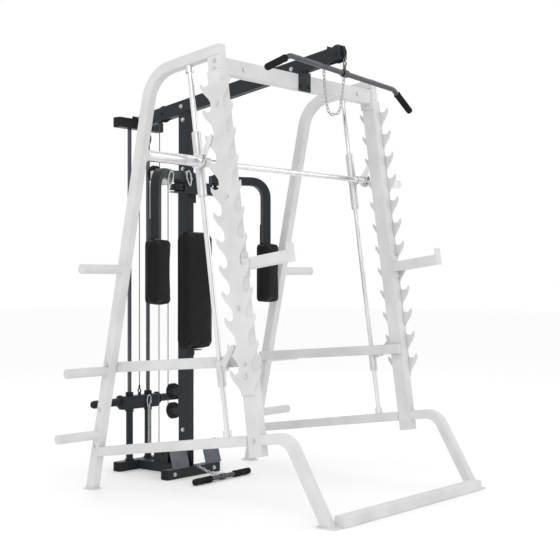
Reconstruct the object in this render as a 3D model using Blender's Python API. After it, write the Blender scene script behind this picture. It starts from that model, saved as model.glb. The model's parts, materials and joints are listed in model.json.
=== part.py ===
"""Multi station home gym: a half rack with a guided bar, and a pulley tower behind it.

Axes: +X to the user's right, +Y to the rear, +Z up. The origin is on the floor, at the
middle of the machine. Side views are drawn in (y, z) from DATUM_Y, the plane through the
foot of the uprights, and every node hangs under one empty that stands at that plane.
"""
import math

import bmesh
import bpy
from mathutils import Vector

# ---- Driving dimensions, in metres --------------------------------------------------
DATUM_Y = -0.36            # the side view's y = 0, measured from the machine's middle
GAP = 0.0003               # clearance between touching pieces
LEAN = math.radians(8.0)   # backward lean of the uprights, rods and their teeth
SIDE_X = 0.60              # centre plane of each side frame
TUBE = 0.050               # width of the frame tubes
WALL = 0.006               # thickness of plates
WELD = 0.003               # how far a welded piece enters the one that it joins
EDGE = 0.004               # rounding of a tube's corners
ROUND = 16                 # sides of a round piece

LEG_LEAN = math.radians(11.8)
LEG_FOOT_Y = 0.9585             # the leg's centre line on the floor
LEG_BEND = 0.175
UPRIGHT_REAR = (0.0548, 1.199)  # a point of the upright's rear face; steps start here
UPRIGHT_DEPTH = 0.075
UPRIGHT_FOOT = -0.953           # steps along the upright: its lower end,
TOP_BAR = 0.8653                # the top bar's centre line
BASE_RAIL = -0.8808             # and the base rail's centre line
ROD_BACK = 0.132                # the guide rod's axis, behind the upright's rear face
ROD_RADIUS = 0.0125
RAIL_HEIGHT = 0.045
FRONT_LEG_TURN = -0.219         # where the base rail turns down, behind the rear face
FRONT_LEG_BEND = 0.090
FRONT_LEG_FOOT = (-0.4935, 0.003)
MID_RAIL = ((0.53, 0.629), (0.09, 0.664))   # two points of its centre line
MID_RAIL_WIDTH = 0.025
FOOT_PLATE = 0.006
FLOOR_BAR_Y = (-0.555, -0.505)
CROSS_Y = (0.100, 0.150)
CROSS_Z = (1.958, 2.0325)

TEETH = 12
TOOTH_PITCH = 0.118
TOOTH_FIRST = -0.6624           # step along the upright to the lowest tooth's root
POCKET_RISE = 0.076             # a tooth's floor, above its root
# one tooth as (out, up) points from its root: underside, tip, pocket
TOOTH = ((0.0, 0.0), (0.012, 0.020), (0.036, 0.047), (0.052, 0.075), (0.051, 0.095),
         (0.032, 0.077), (0.010, 0.076), (0.0, 0.086))

PEG_RADIUS = 0.023
PEG_END_X = 0.869
PEG_HEIGHTS = (1.083, 0.590, 0.275)
SAFETY_ARM = -0.110             # step along the upright to the safety arm's centre line
SAFETY_ARM_LENGTH = 0.262

BAR_STEP = 0.382                # the guided bar's axis, as a step along the upright
BAR_OFFSET = 0.043              # and in front of the rods
BAR_RADIUS = 0.014
SLEEVE_RADIUS = 0.025
BAR_END_X = 0.976
BEARING = (0.021, 0.300)        # radius and length of a bar bearing
BAR_POCKET = 9                  # the tooth that the bar's hooks rest in
STOP = (0.020, 0.125)           # radius and length of a safety stop
STOP_STEP = -0.571
STOP_POCKET = 1
PIN_RADIUS = 0.005
PIN_BACK = 0.014                # a resting pin, behind the upright's rear face

COLUMN_Y = (0.857, 0.927)
BEAM_SLOPE = 0.1588
BEAM_UNDER = (0.125, 2.0375)    # a point of the beam's lower face
BEAM_HEIGHT = 0.070
BEAM_Y = (-0.134, 1.225)
STACK_Y = 1.250                 # plane of the carriage rods
STACK_X = 0.070
FOOT_HEIGHT = 0.050
CARRIAGE_Z = (0.330, 0.400)
CARRIAGE_BAR_X = 0.335

PULLEY_RADIUS = 0.044
GROOVE_RADIUS = 0.0355
CABLE_RADIUS = 0.0025
CABLE_RIDE = GROOVE_RADIUS + CABLE_RADIUS + 0.0008
AXLE_RADIUS = 0.005

ARM_PIVOT = (0.150, 0.820)
ARM_TUBE = 0.045
ARM_LEVEL_Z = 1.5675
ARM_REACH = (0.423, 0.695)
PAD_SIZE = (0.135, 0.070)
PAD_Z = (0.910, 1.245)
BACK_PAD = ((-0.120, 0.797, 0.668), (0.120, 0.852, 1.287))

LAT_BAR_Z = 2.012
LAT_BAR_RADIUS = 0.0125
LAT_BAR_HALF = 0.418
LAT_BAR_END = 0.178
LAT_BAR_DROOP = math.radians(28.0)
LAT_BAR_TILT = math.radians(3.2)
LOW_BAR_CENTRE = (0.0, 0.634, 0.0181)
LOW_BAR_HALF = 0.226
CHAIN_RADIUS = 0.006

ALONG = Vector((0.0, math.sin(LEAN), math.cos(LEAN)))   # up the uprights
BACK = Vector((0.0, math.cos(LEAN), -math.sin(LEAN)))   # square to them, to the rear
AXIS_X = Vector((1.0, 0.0, 0.0))
AXIS_Y = Vector((0.0, 1.0, 0.0))
AXIS_Z = Vector((0.0, 0.0, 1.0))

# name: colour, roughness, metallic
FINISHES = {
    "pale_powder_coat": ((0.80, 0.81, 0.83), 0.45, 0.1),
    "charcoal_coat": ((0.035, 0.037, 0.040), 0.45, 0.2),
    "chrome": ((0.72, 0.72, 0.73), 0.16, 1.0),
    "zinc": ((0.55, 0.55, 0.56), 0.35, 1.0),
    "black_vinyl": ((0.014, 0.014, 0.015), 0.50, 0.0),
    "black_rubber": ((0.018, 0.018, 0.018), 0.75, 0.0),
    "black_plastic": ((0.020, 0.020, 0.022), 0.40, 0.0),
    "steel_cable": ((0.42, 0.42, 0.43), 0.40, 0.8),
}


# ---- Building blocks ----------------------------------------------------------------
def clear_scene():
    for item in list(bpy.data.objects):
        bpy.data.objects.remove(item, do_unlink=True)


def finish_material(name):
    found = bpy.data.materials.get(name)
    if found:
        return found
    colour, roughness, metallic = FINISHES[name]
    made = bpy.data.materials.new(name)
    made.use_nodes = True
    shader = made.node_tree.nodes["Principled BSDF"]
    shader.inputs["Base Color"].default_value = (*colour, 1.0)
    shader.inputs["Roughness"].default_value = roughness
    shader.inputs["Metallic"].default_value = metallic
    return made


def node(name, shape, finish, origin=(0.0, 0.0, 0.0)):
    """Turn a bmesh in side-view coordinates into the named node, with its own origin."""
    bmesh.ops.recalc_face_normals(shape, faces=shape.faces)
    bmesh.ops.translate(shape, verts=shape.verts, vec=-Vector(origin))
    mesh = bpy.data.meshes.new(name)
    shape.to_mesh(mesh)
    shape.free()
    mesh.shade_smooth()
    mesh.set_sharp_from_angle(angle=math.radians(35))
    made = bpy.data.objects.new(name, mesh)
    made.data.materials.append(finish_material(finish))
    made.location = origin
    made.parent = bpy.data.objects["datum"]
    bpy.context.collection.objects.link(made)
    return made


def circle(radius, sides):
    step = math.tau / sides
    return [(radius * math.cos(i * step), radius * math.sin(i * step)) for i in range(sides)]


def rounded_box(width, height, corner=EDGE):
    """A rectangle about the origin with cut corners, as (side, up) points."""
    w, h, c = width / 2, height / 2, corner
    return [(w, -h + c), (w, h - c), (w - c, h), (-w + c, h),
            (-w, h - c), (-w, -h + c), (-w + c, -h), (w - c, -h)]


def bend(points, radius, steps=6):
    """A path through the points, with an arc of this radius at each inner corner."""
    points = [Vector(p) for p in points]
    path = [points[0]]
    for before, corner, after in zip(points, points[1:], points[2:]):
        into = (before - corner).normalized()
        out = (after - corner).normalized()
        half = into.angle(out) / 2
        reach = radius / math.tan(half)
        centre = corner + (into + out).normalized() * radius / math.sin(half)
        first = corner + into * reach - centre
        last = corner + out * reach - centre
        turn = first.angle(last)
        for i in range(steps + 1):
            part = i / steps
            swing = (first * math.sin((1 - part) * turn) + last * math.sin(part * turn))
            path.append(centre + swing / math.sin(turn))
    path.append(points[-1])
    return path


def sweep(shape, path, section, side, closed=False, cuts=(None, None)):
    """Carry a section along a flat path; side is the path plane's normal.

    cuts holds the normals of the planes that trim the two ends, where they aren't square.
    """
    path = [Vector(p) for p in path]
    count = len(path)
    rings = []
    for i, point in enumerate(path):
        if closed:
            tangent = (path[(i + 1) % count] - path[i - 1]).normalized()
        else:
            tangent = (path[min(i + 1, count - 1)] - path[max(i - 1, 0)]).normalized()
        up = Vector(side).cross(tangent)
        cut = cuts[0] if i == 0 else cuts[1] if i == count - 1 else None
        ring = []
        for across, rise in section:
            spot = point + Vector(side) * across + up * rise
            if cut is not None:
                spot += tangent * ((point - spot).dot(cut) / tangent.dot(cut))
            ring.append(shape.verts.new(spot))
        rings.append(ring)
    pairs = list(zip(rings, rings[1:]))
    if closed:
        pairs.append((rings[-1], rings[0]))
    size = len(section)
    for low, high in pairs:
        for j in range(size):
            k = (j + 1) % size
            shape.faces.new((low[j], low[k], high[k], high[j]))
    if not closed:
        shape.faces.new(rings[0])
        shape.faces.new(rings[-1])


def turned(shape, start, axis, profile, sides=ROUND, bore=0.0):
    """Turn a profile of (distance, radius) points about an axis, with a bore if one is given."""
    axis = Vector(axis).normalized()
    helper = AXIS_X if abs(axis.x) < 0.9 else AXIS_Z
    side = axis.cross(helper).normalized()
    up = axis.cross(side)
    if bore:
        profile = [(profile[0][0], bore)] + list(profile) + [(profile[-1][0], bore)]
    rings = []
    for distance, radius in profile:
        middle = Vector(start) + axis * distance
        rings.append([shape.verts.new(middle + side * a + up * b)
                      for a, b in circle(radius, sides)])
    pairs = list(zip(rings, rings[1:]))
    if bore:
        pairs.append((rings[-1], rings[0]))
    for low, high in pairs:
        for j in range(sides):
            k = (j + 1) % sides
            shape.faces.new((low[j], low[k], high[k], high[j]))
    if not bore:
        shape.faces.new(rings[0])
        shape.faces.new(rings[-1])


def rod(shape, start, end, radius, sides=16):
    start, end = Vector(start), Vector(end)
    length = (end - start).length
    turned(shape, start, end - start, [(0.0, radius), (length, radius)], sides)


def prism(shape, outline, axis, low, high):
    """Extrude an outline along X, Y or Z; its points are the other two coordinates in order."""
    def spot(point, depth):
        spare = list(point)
        spare.insert("XYZ".index(axis), depth)
        return spare
    first = [shape.verts.new(spot(p, low)) for p in outline]
    last = [shape.verts.new(spot(p, high)) for p in outline]
    shape.faces.new(first)
    shape.faces.new(last)
    for j in range(len(outline)):
        k = (j + 1) % len(outline)
        shape.faces.new((first[j], first[k], last[k], last[j]))


def block(shape, low, high, corner=0.0):
    """A box between two corners; its edges along Z are cut by the corner size."""
    (x0, y0, z0), (x1, y1, z1) = low, high
    if corner:
        outline = [(x + (x0 + x1) / 2, y + (y0 + y1) / 2)
                   for x, y in rounded_box(x1 - x0, y1 - y0, corner)]
    else:
        outline = [(x0, y0), (x1, y0), (x1, y1), (x0, y1)]
    prism(shape, outline, "Z", z0, z1)


def soften(made, width, segments=2):
    """Round the edges of a node with a live bevel."""
    step = made.modifiers.new("rounding", "BEVEL")
    step.width = width
    step.segments = segments
    step.limit_method = "ANGLE"
    step.angle_limit = math.radians(40)
    return made


def side_point(x, base, along=0.0, back=0.0):
    """A point given from a (y, z) base, by steps up and square to the leaning upright."""
    return Vector((x, base[0], base[1])) + ALONG * along + BACK * back


def solid(maker, *values, **named):
    """A bmesh holding one body, made by one of the functions above."""
    shape = bmesh.new()
    maker(shape, *values, **named)
    return shape


def combine(made, operation, *shapes):
    """Unite bodies with a node, or cut them out of it, with live Booleans."""
    for i, shape in enumerate(shapes):
        bmesh.ops.recalc_face_normals(shape, faces=shape.faces)
        name = f"{made.name}_{operation.lower()}_{i}"
        mesh = bpy.data.meshes.new(name)
        shape.to_mesh(mesh)
        shape.free()
        tool = bpy.data.objects.new(name, mesh)
        tool.parent = bpy.data.objects["datum"]
        tool.hide_render = True
        tool.display_type = "WIRE"
        bpy.context.collection.objects.link(tool)
        step = made.modifiers.new(operation.lower(), "BOOLEAN")
        step.operation = operation
        step.solver = "EXACT"
        step.object = tool
    return made


def join(made, *shapes):
    return combine(made, "UNION", *shapes)


def cut(made, *shapes):
    return combine(made, "DIFFERENCE", *shapes)


def meet(point, direction, other, other_direction):
    """Where two lines of a side view cross; all four are vectors with x = 0."""
    offset = other - point
    across = direction.y * other_direction.z - direction.z * other_direction.y
    reach = (offset.y * other_direction.z - offset.z * other_direction.y) / across
    return point + direction * reach


def side_plane(x, point):
    return Vector((x, point.y, point.z))


LEG_UP = Vector((0.0, -math.sin(LEG_LEAN), math.cos(LEG_LEAN)))
LEG_REAR = Vector((0.0, math.cos(LEG_LEAN), math.sin(LEG_LEAN)))
LEG_BASE = Vector((0.0, LEG_FOOT_Y, 0.0))
LEG_FRONT = LEG_BASE - LEG_REAR * (TUBE / 2 + GAP)
PIN_SEAT = TOOTH_FIRST + POCKET_RISE + PIN_RADIUS + GAP
BAR_AXIS = side_point(0.0, UPRIGHT_REAR, BAR_STEP, ROD_BACK - BAR_OFFSET)
SIDES = (("left", -1), ("right", 1))


# ---- Half rack ----------------------------------------------------------------------
def rear_frame(name, sign):
    """The rear leg and the top bar, one bent tube, with its foot and plate pegs welded on."""
    x = sign * SIDE_X
    top = side_point(0.0, UPRIGHT_REAR, TOP_BAR, 0.0)
    turn = meet(LEG_BASE, LEG_UP, top, BACK)
    foot = LEG_BASE + LEG_UP * WELD / LEG_UP.z
    front = side_point(0.0, UPRIGHT_REAR, TOP_BAR, -UPRIGHT_DEPTH)
    path = bend([side_plane(x, p) for p in (foot, turn, front)], LEG_BEND, 10)
    shape = solid(sweep, path, rounded_box(TUBE, TUBE), AXIS_X, cuts=(AXIS_Z, None))
    made = node(name + "_rear_frame", shape, "pale_powder_coat")
    half = 0.042
    join(made, solid(block, (x - 0.030, LEG_FOOT_Y - half, 0.0),
                     (x + 0.030, LEG_FOOT_Y + half, FOOT_PLATE), 0.008))
    near = SIDE_X + TUBE / 2 - WELD
    length = PEG_END_X - near
    for height in PEG_HEIGHTS:
        y = LEG_FOOT_Y - height * math.tan(LEG_LEAN)
        join(made, solid(turned, (sign * near, y, height), AXIS_X * sign, [
            (0.0, 0.0245), (0.009, 0.0245), (0.010, PEG_RADIUS),
            (length - 0.002, PEG_RADIUS), (length, PEG_RADIUS - 0.002)], 14))


def upright(name, sign):
    x = sign * SIDE_X
    middle = -UPRIGHT_DEPTH / 2
    top = TOP_BAR - TUBE / 2 - GAP
    path = [side_point(x, UPRIGHT_REAR, UPRIGHT_FOOT, middle),
            side_point(x, UPRIGHT_REAR, top, middle)]
    shape = solid(sweep, path, rounded_box(TUBE, UPRIGHT_DEPTH), AXIS_X)
    node(name + "_upright", shape, "pale_powder_coat")


def gun_rack(name, sign):
    """The toothed plate on the upright's outer face, with teeth on both edges."""
    rear, front = [], []
    for k in range(TEETH):
        root = TOOTH_FIRST + k * TOOTH_PITCH
        rear += [(root + up, out) for out, up in TOOTH]
        front += [(root + up, -UPRIGHT_DEPTH - out) for out, up in TOOTH]
    low = TOOTH_FIRST - 0.020
    high = TOOTH_FIRST + TEETH * TOOTH_PITCH + 0.020
    steps = [(low, 0.0)] + rear + [(high, 0.0), (high, -UPRIGHT_DEPTH)]
    steps += front[::-1] + [(low, -UPRIGHT_DEPTH)]
    points = [side_point(0.0, UPRIGHT_REAR, along, back) for along, back in steps]
    near = sign * (SIDE_X + TUBE / 2 + GAP)
    shape = solid(prism, [(p.y, p.z) for p in points], "X", near, near + sign * WALL)
    node(name + "_gun_rack", shape, "pale_powder_coat")


def front_leg(name, sign):
    """The front part of the base rail, bent down to the foot plate welded on its end."""
    x = sign * SIDE_X
    start = side_point(x, UPRIGHT_REAR, BASE_RAIL, -UPRIGHT_DEPTH - GAP)
    turn = side_point(x, UPRIGHT_REAR, BASE_RAIL, FRONT_LEG_TURN)
    foot = Vector((x, *FRONT_LEG_FOOT))
    path = bend([start, turn, foot], FRONT_LEG_BEND, 8)
    shape = solid(sweep, path, rounded_box(TUBE, RAIL_HEIGHT), AXIS_X, cuts=(None, AXIS_Z))
    made = node(name + "_front_leg", shape, "pale_powder_coat")
    near, far = SIDE_X - TUBE / 2, SIDE_X + TUBE / 2 + 0.010
    low, high = sorted((sign * near, sign * far))
    join(made, solid(block, (low, FLOOR_BAR_Y[0] + 0.004, 0.0), (high, -0.448, FOOT_PLATE), 0.008))


def rails(name, sign):
    """The base rail from the upright to the leg, and the mid rail on their inner faces."""
    x = sign * SIDE_X
    start = side_point(0.0, UPRIGHT_REAR, BASE_RAIL, GAP)
    end = meet(start, BACK, LEG_FRONT, LEG_UP)
    shape = solid(sweep, [side_plane(x, start), side_plane(x, end)],
                  rounded_box(TUBE, RAIL_HEIGHT), AXIS_X, cuts=(None, LEG_REAR))
    node(name + "_base_rail", shape, "pale_powder_coat")
    rear, front = (Vector((0.0, *p)) for p in MID_RAIL)
    slope = (rear - front).normalized()
    start = meet(front, slope, side_point(0.0, UPRIGHT_REAR, 0.0, -UPRIGHT_DEPTH + WALL), ALONG)
    end = meet(front, slope, LEG_BASE + LEG_REAR * (TUBE / 2 - WALL), LEG_UP)
    x = sign * (SIDE_X - TUBE / 2 - GAP - MID_RAIL_WIDTH / 2)
    shape = solid(sweep, [side_plane(x, start), side_plane(x, end)],
                  rounded_box(MID_RAIL_WIDTH, TUBE), AXIS_X, cuts=(BACK, LEG_REAR))
    node(name + "_mid_rail", shape, "pale_powder_coat")


def cross_members():
    inner = SIDE_X - TUBE / 2 - GAP
    middle = (FLOOR_BAR_Y[0] + FLOOR_BAR_Y[1]) / 2
    ends = [Vector((sign * inner, middle, TUBE / 2)) for sign in (-1, 1)]
    shape = solid(sweep, ends, rounded_box(TUBE, TUBE), AXIS_Y)
    node("front_floor_bar", shape, "pale_powder_coat")
    centre = ((CROSS_Y[0] + CROSS_Y[1]) / 2, (CROSS_Z[0] + CROSS_Z[1]) / 2)
    ends = [Vector((sign * (inner - WALL / 2), *centre)) for sign in (-1, 1)]
    shape = solid(sweep, ends, rounded_box(TUBE, CROSS_Z[1] - CROSS_Z[0]), AXIS_Y)
    made = node("top_crossbeam", shape, "pale_powder_coat")
    flange = [(CROSS_Y[0] - 0.012, CROSS_Z[0] - 0.030), (CROSS_Y[1] + 0.010, CROSS_Z[0] - 0.030),
              (CROSS_Y[1] + 0.022, CROSS_Z[1] - WELD), (CROSS_Y[0] + 0.004, CROSS_Z[1] - WELD)]
    for sign in (-1, 1):
        low, high = sorted((sign * (inner - WALL), sign * inner))
        join(made, solid(prism, flange, "X", low, high))


def guide_rod(name, sign):
    """The rod that one end of the bar rides on, with a collar at both ends."""
    low = BASE_RAIL + RAIL_HEIGHT / 2 + GAP
    length = TOP_BAR - TUBE / 2 - GAP - low
    collar, tall = 0.020, 0.030
    start = side_point(sign * SIDE_X, UPRIGHT_REAR, low, ROD_BACK)
    shape = solid(turned, start, ALONG, [
        (0.0, collar), (tall, collar), (tall + 0.001, ROD_RADIUS),
        (length - tall - 0.001, ROD_RADIUS), (length - tall, collar), (length, collar)])
    node(name + "_guide_rod", shape, "chrome")


def safety_arm(name, sign):
    """A spotter arm in front of the upright, with a raised end plate."""
    x = sign * SIDE_X
    root = -UPRIGHT_DEPTH - GAP
    end = root - SAFETY_ARM_LENGTH
    path = [side_point(x, UPRIGHT_REAR, SAFETY_ARM, back) for back in (root - WELD, end)]
    shape = solid(sweep, path, rounded_box(TUBE, TUBE), AXIS_X)
    made = node(name + "_safety_arm", shape, "pale_powder_coat")
    for back, low, high in ((root - WALL, -0.055, 0.055), (end - WALL / 2, -0.027, 0.057)):
        ends = [side_point(x, UPRIGHT_REAR, SAFETY_ARM + step, back + WALL / 2)
                for step in (low, high)]
        join(made, solid(sweep, ends, rounded_box(TUBE - 0.001, WALL, 0.001), AXIS_X))


# ---- Guided bar and safety stops ----------------------------------------------------
def hook(made, x, pivot, pin, sign, start):
    """Weld on a hook: a tapered plate from the pivot, and a pin across the rack's teeth."""
    reach = pin - pivot
    length = reach.length
    reach.normalize()
    across = Vector((0.0, -reach.z, reach.y))
    wide, nose = 0.020, 0.011
    steps = [(start, wide), (length / 2, wide * 0.72), (length, nose), (length + nose, 0.0),
             (length, -nose), (length / 2, -wide * 0.72), (start, -wide)]
    points = [pivot + reach * distance + across * w for distance, w in steps]
    tip = Vector((x + sign * WALL / 2, pin.y, pin.z))
    inner = Vector((x - sign * (WALL + 0.010), pin.y, pin.z))
    join(made, solid(prism, [(p.y, p.z) for p in points], "X", x, x + sign * WALL),
         solid(rod, tip, inner, PIN_RADIUS, 12))


HOOK_X = SIDE_X + TUBE / 2 + WALL + 3 * GAP


def smith_bar():
    """The guided bar with its outer sleeves, and the two hooks fixed on it."""
    stub = SIDE_X + 0.055
    profile = [(-BAR_END_X, SLEEVE_RADIUS - 0.002), (-BAR_END_X + 0.002, SLEEVE_RADIUS),
               (-stub - 0.012, SLEEVE_RADIUS), (-stub - 0.011, 0.034), (-stub, 0.034),
               (-stub + 0.001, BAR_RADIUS)]
    profile += [(-distance, radius) for distance, radius in reversed(profile)]
    made = node("smith_bar", solid(turned, BAR_AXIS, AXIS_X, profile), "chrome", BAR_AXIS)
    pin = side_point(0.0, UPRIGHT_REAR, PIN_SEAT + BAR_POCKET * TOOTH_PITCH, PIN_BACK)
    for _, sign in SIDES:
        x = sign * HOOK_X
        join(made, solid(turned, (x - sign * 0.001, BAR_AXIS.y, BAR_AXIS.z), AXIS_X * sign,
                         [(0.0, 0.0195), (WALL + 0.002, 0.0195)]))
        hook(made, x, BAR_AXIS, pin, sign, 0.010)


def bar_bearing(name, sign):
    """The long sleeve on the guide rod, and the short one that the bar turns in."""
    x = sign * SIDE_X
    middle = side_point(x, UPRIGHT_REAR, BAR_STEP, ROD_BACK)
    radius, length = BEARING
    shape = solid(turned, middle - ALONG * length / 2, ALONG, [
        (0.0, radius - 0.003), (0.004, radius), (length - 0.004, radius),
        (length, radius - 0.003)], bore=ROD_RADIUS + 0.0005)
    made = node(name + "_bar_bearing", shape, "zinc", (x, BAR_AXIS.y, BAR_AXIS.z))
    start = Vector((x - 0.020, BAR_AXIS.y, BAR_AXIS.z))
    web = [side_point(x, UPRIGHT_REAR, BAR_STEP + step, ROD_BACK - 0.0205)
           for step in (-0.019, 0.019)]
    join(made, solid(sweep, web, rounded_box(0.030, 0.009, 0.001), AXIS_X),
         solid(turned, start, AXIS_X, [(0.0, 0.0195), (0.002, 0.0212), (0.038, 0.0212),
                                       (0.040, 0.0195)], bore=BAR_RADIUS + 0.0005))


def safety_stop(name, sign):
    """A stop that slides on the guide rod, and its hook that hangs on a tooth."""
    x = sign * SIDE_X
    radius, length = STOP
    middle = side_point(x, UPRIGHT_REAR, STOP_STEP, ROD_BACK)
    shape = solid(turned, middle - ALONG * length / 2, ALONG, [
        (0.0, radius - 0.002), (0.002, radius), (length - 0.007, radius),
        (length - 0.006, 0.0245), (length, 0.0245)], bore=ROD_RADIUS + 0.0005)
    made = node(name + "_safety_stop", shape, "zinc", middle)
    seat = PIN_SEAT + STOP_POCKET * TOOTH_PITCH
    pin = side_point(0.0, UPRIGHT_REAR, seat, PIN_BACK)
    pivot_step, pivot_back = seat - 0.085, 0.095
    pivot = side_point(0.0, UPRIGHT_REAR, pivot_step, pivot_back)
    ears = [side_point(x, UPRIGHT_REAR, pivot_step + step, pivot_back + 0.006)
            for step in (-0.018, 0.018)]
    spindle = Vector((x, pivot.y, pivot.z))
    join(made, solid(sweep, ears, rounded_box(0.012, 0.030, 0.001), AXIS_X),
         solid(rod, spindle, spindle + AXIS_X * sign * 0.044, 0.006, 12))
    near = sign * HOOK_X
    shape = solid(turned, (near, pivot.y, pivot.z), AXIS_X * sign,
                  [(0.0, 0.0125), (WALL, 0.0125)], 16, bore=0.006 + 2 * GAP)
    made = node(name + "_stop_hook", shape, "zinc", pivot)
    hook(made, near, pivot, pin, sign, 0.0095)


# ---- Pulley tower -------------------------------------------------------------------
BEAM_TILT = math.atan(BEAM_SLOPE)
BEAM_UP = Vector((0.0, math.sin(BEAM_TILT), math.cos(BEAM_TILT)))
COLUMN_MIDDLE = (COLUMN_Y[0] + COLUMN_Y[1]) / 2
STRAND_Y = STACK_Y - 0.005                      # the cable above the carriage
SLOT = 0.0145                                   # half the width of a pulley's slot
CHEEK = 0.003                                   # thickness of a pulley's bracket plates


def beam_under(y):
    return BEAM_UNDER[1] + (BEAM_UNDER[0] - y) * BEAM_SLOPE


def beam_middle(y):
    return beam_under(y) + BEAM_HEIGHT / 2 / math.cos(BEAM_TILT)


REAR_PULLEY = (STRAND_Y - CABLE_RIDE, 1.805)
FLOAT_PULLEY = (REAR_PULLEY[0] - 2 * CABLE_RIDE, 1.610)
MID_PULLEY_Y = FLOAT_PULLEY[0] - 2 * CABLE_RIDE
MID_PULLEY = (MID_PULLEY_Y, beam_middle(MID_PULLEY_Y))
FRONT_PULLEY = (-0.105, beam_middle(-0.105))
BASE_PULLEY = (1.0555, 0.095)
LOW_PULLEY = (COLUMN_MIDDLE, 0.095)
COLUMN_PULLEYS = {"upper": 0.4355, "lower": 0.334}
COLUMN_PULLEY_Y = COLUMN_Y[1] + 0.060
LAT_DROP_Y = FRONT_PULLEY[0] - CABLE_RIDE       # the lat bar hangs in this plane
LOW_CABLE_Z = LOW_PULLEY[1] - CABLE_RIDE


def cheeks(made, outline):
    """Weld on a pair of bracket plates, one either side of a pulley."""
    for sign in (-1, 1):
        low, high = sorted((sign * SLOT, sign * (SLOT + CHEEK)))
        join(made, solid(prism, outline, "X", low, high))


def axle(made, centre, half=SLOT + CHEEK):
    """Weld on a pulley's axle, with a bolt head at both ends."""
    end = half - CHEEK / 2
    join(made, solid(rod, (-end, *centre), (end, *centre), AXLE_RADIUS, 12))
    for sign in (-1, 1):
        join(made, solid(turned, (sign * (half - 0.001), *centre), AXIS_X * sign,
                         [(0.0, 0.0085), (0.007, 0.0085), (0.008, 0.0070)], 6))


def tower_base():
    """The tower's two feet, the beam between them and the rear pulley's bracket."""
    ends = [Vector((0.0, 0.870, TUBE / 2)), Vector((0.0, 1.235, TUBE / 2))]
    made = node("tower_base", solid(sweep, ends, rounded_box(TUBE, TUBE - 0.001), AXIS_X),
                "charcoal_coat")
    join(made, solid(block, (-0.165, 1.225, 0.0), (0.165, 1.275, FOOT_HEIGHT), EDGE),
         solid(block, (-0.200, 0.830, 0.0), (0.200, 0.880, FOOT_HEIGHT), EDGE))
    y, z = BASE_PULLEY
    foot = FOOT_HEIGHT - WELD
    cheeks(made, [(y - 0.045, foot), (y + 0.060, foot), (y + 0.060, z + 0.010),
                  (y + 0.030, z + 0.040), (y - 0.030, z + 0.040), (y - 0.045, z + 0.010)])
    axle(made, BASE_PULLEY)


def column():
    """The post, slotted at its foot for the low pulley, with its welded brackets."""
    foot = FOOT_HEIGHT + GAP
    top = beam_under(COLUMN_MIDDLE) - GAP
    ends = [Vector((0.0, COLUMN_MIDDLE, foot)), Vector((0.0, COLUMN_MIDDLE, top))]
    shape = solid(sweep, ends, rounded_box(TUBE, COLUMN_Y[1] - COLUMN_Y[0]), AXIS_X,
                  cuts=(None, BEAM_UP))
    made = node("column", shape, "charcoal_coat")
    cut(made, solid(block, (-SLOT, COLUMN_Y[0] - 0.02, foot - 0.01),
                    (SLOT, COLUMN_Y[1] + 0.02, 0.150)))
    axle(made, LOW_PULLEY, TUBE / 2)
    y, wall = COLUMN_PULLEY_Y, COLUMN_Y[1] - WELD
    for z in COLUMN_PULLEYS.values():
        cheeks(made, [(wall, z - 0.022), (y, z - 0.012), (y + 0.011, z), (y, z + 0.012),
                      (wall, z + 0.022)])
        axle(made, (y, z))
    low, face = BACK_PAD[0][2] - GAP, COLUMN_Y[0] + WELD
    join(made, solid(prism, [(face, low - 0.034), (face, low), (0.800, low),
                             (0.800, low - 0.005), (COLUMN_Y[0] - 0.005, low - 0.005),
                             (COLUMN_Y[0] - 0.005, low - 0.034)], "X", -0.022, 0.022))


def lat_beam():
    """The sloping top beam, slotted for two pulleys, with the third one's bracket."""
    ends = [Vector((0.0, y, beam_middle(y))) for y in (BEAM_Y[1] - GAP, BEAM_Y[0])]
    shape = solid(sweep, ends, rounded_box(TUBE, BEAM_HEIGHT), AXIS_X, cuts=(AXIS_Y, None))
    made = node("lat_beam", shape, "charcoal_coat")
    for centre, ahead in ((MID_PULLEY, 0.050), (FRONT_PULLEY, 0.080)):
        y, z = centre
        cut(made, solid(block, (-SLOT, y - ahead, z - 0.10), (SLOT, y + 0.050, z + 0.10)))
        axle(made, centre, TUBE / 2)
    y, z = REAR_PULLEY
    top = beam_under(y + 0.012) + WELD
    cheeks(made, [(y - 0.022, z - 0.012), (y + 0.012, z - 0.012), (y + 0.012, top),
                  (y - 0.022, top)])
    axle(made, REAR_PULLEY)
    front, under, over = CROSS_Y[0] - GAP, CROSS_Z[0] - 0.008, beam_under(CROSS_Y[0]) + WELD
    join(made, solid(prism, [(front, under), (front, over), (front - WALL, over),
                             (front - WALL, under)], "X", -0.045, 0.045))
    for sign in (-1, 1):
        join(made, solid(turned, (sign * 0.030, front - WALL + 0.001, under + 0.026), -AXIS_Y,
                         [(0.0, 0.0085), (0.007, 0.0085), (0.008, 0.0070)], 6))


def carriage_track():
    """The weight carriage's two rods on their pedestals, and the tube that ties them."""
    low, high = 1.857, 1.911
    node("rod_top_bar", solid(block, (-0.165, 1.225, low), (0.165, 1.275, high), EDGE),
         "charcoal_coat")
    step = CARRIAGE_Z[0] - FOOT_HEIGHT - 4 * GAP
    length = low - FOOT_HEIGHT - 2 * GAP
    for name, sign in SIDES:
        shape = solid(turned, (sign * STACK_X, STACK_Y, FOOT_HEIGHT + GAP), AXIS_Z, [
            (0.0, 0.024), (0.006, 0.024), (0.007, 0.017), (step - 0.012, 0.017),
            (step - 0.011, 0.021), (step, 0.021), (step + GAP, 0.011), (length, 0.011)])
        node(name + "_carriage_rod", shape, "chrome")


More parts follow.
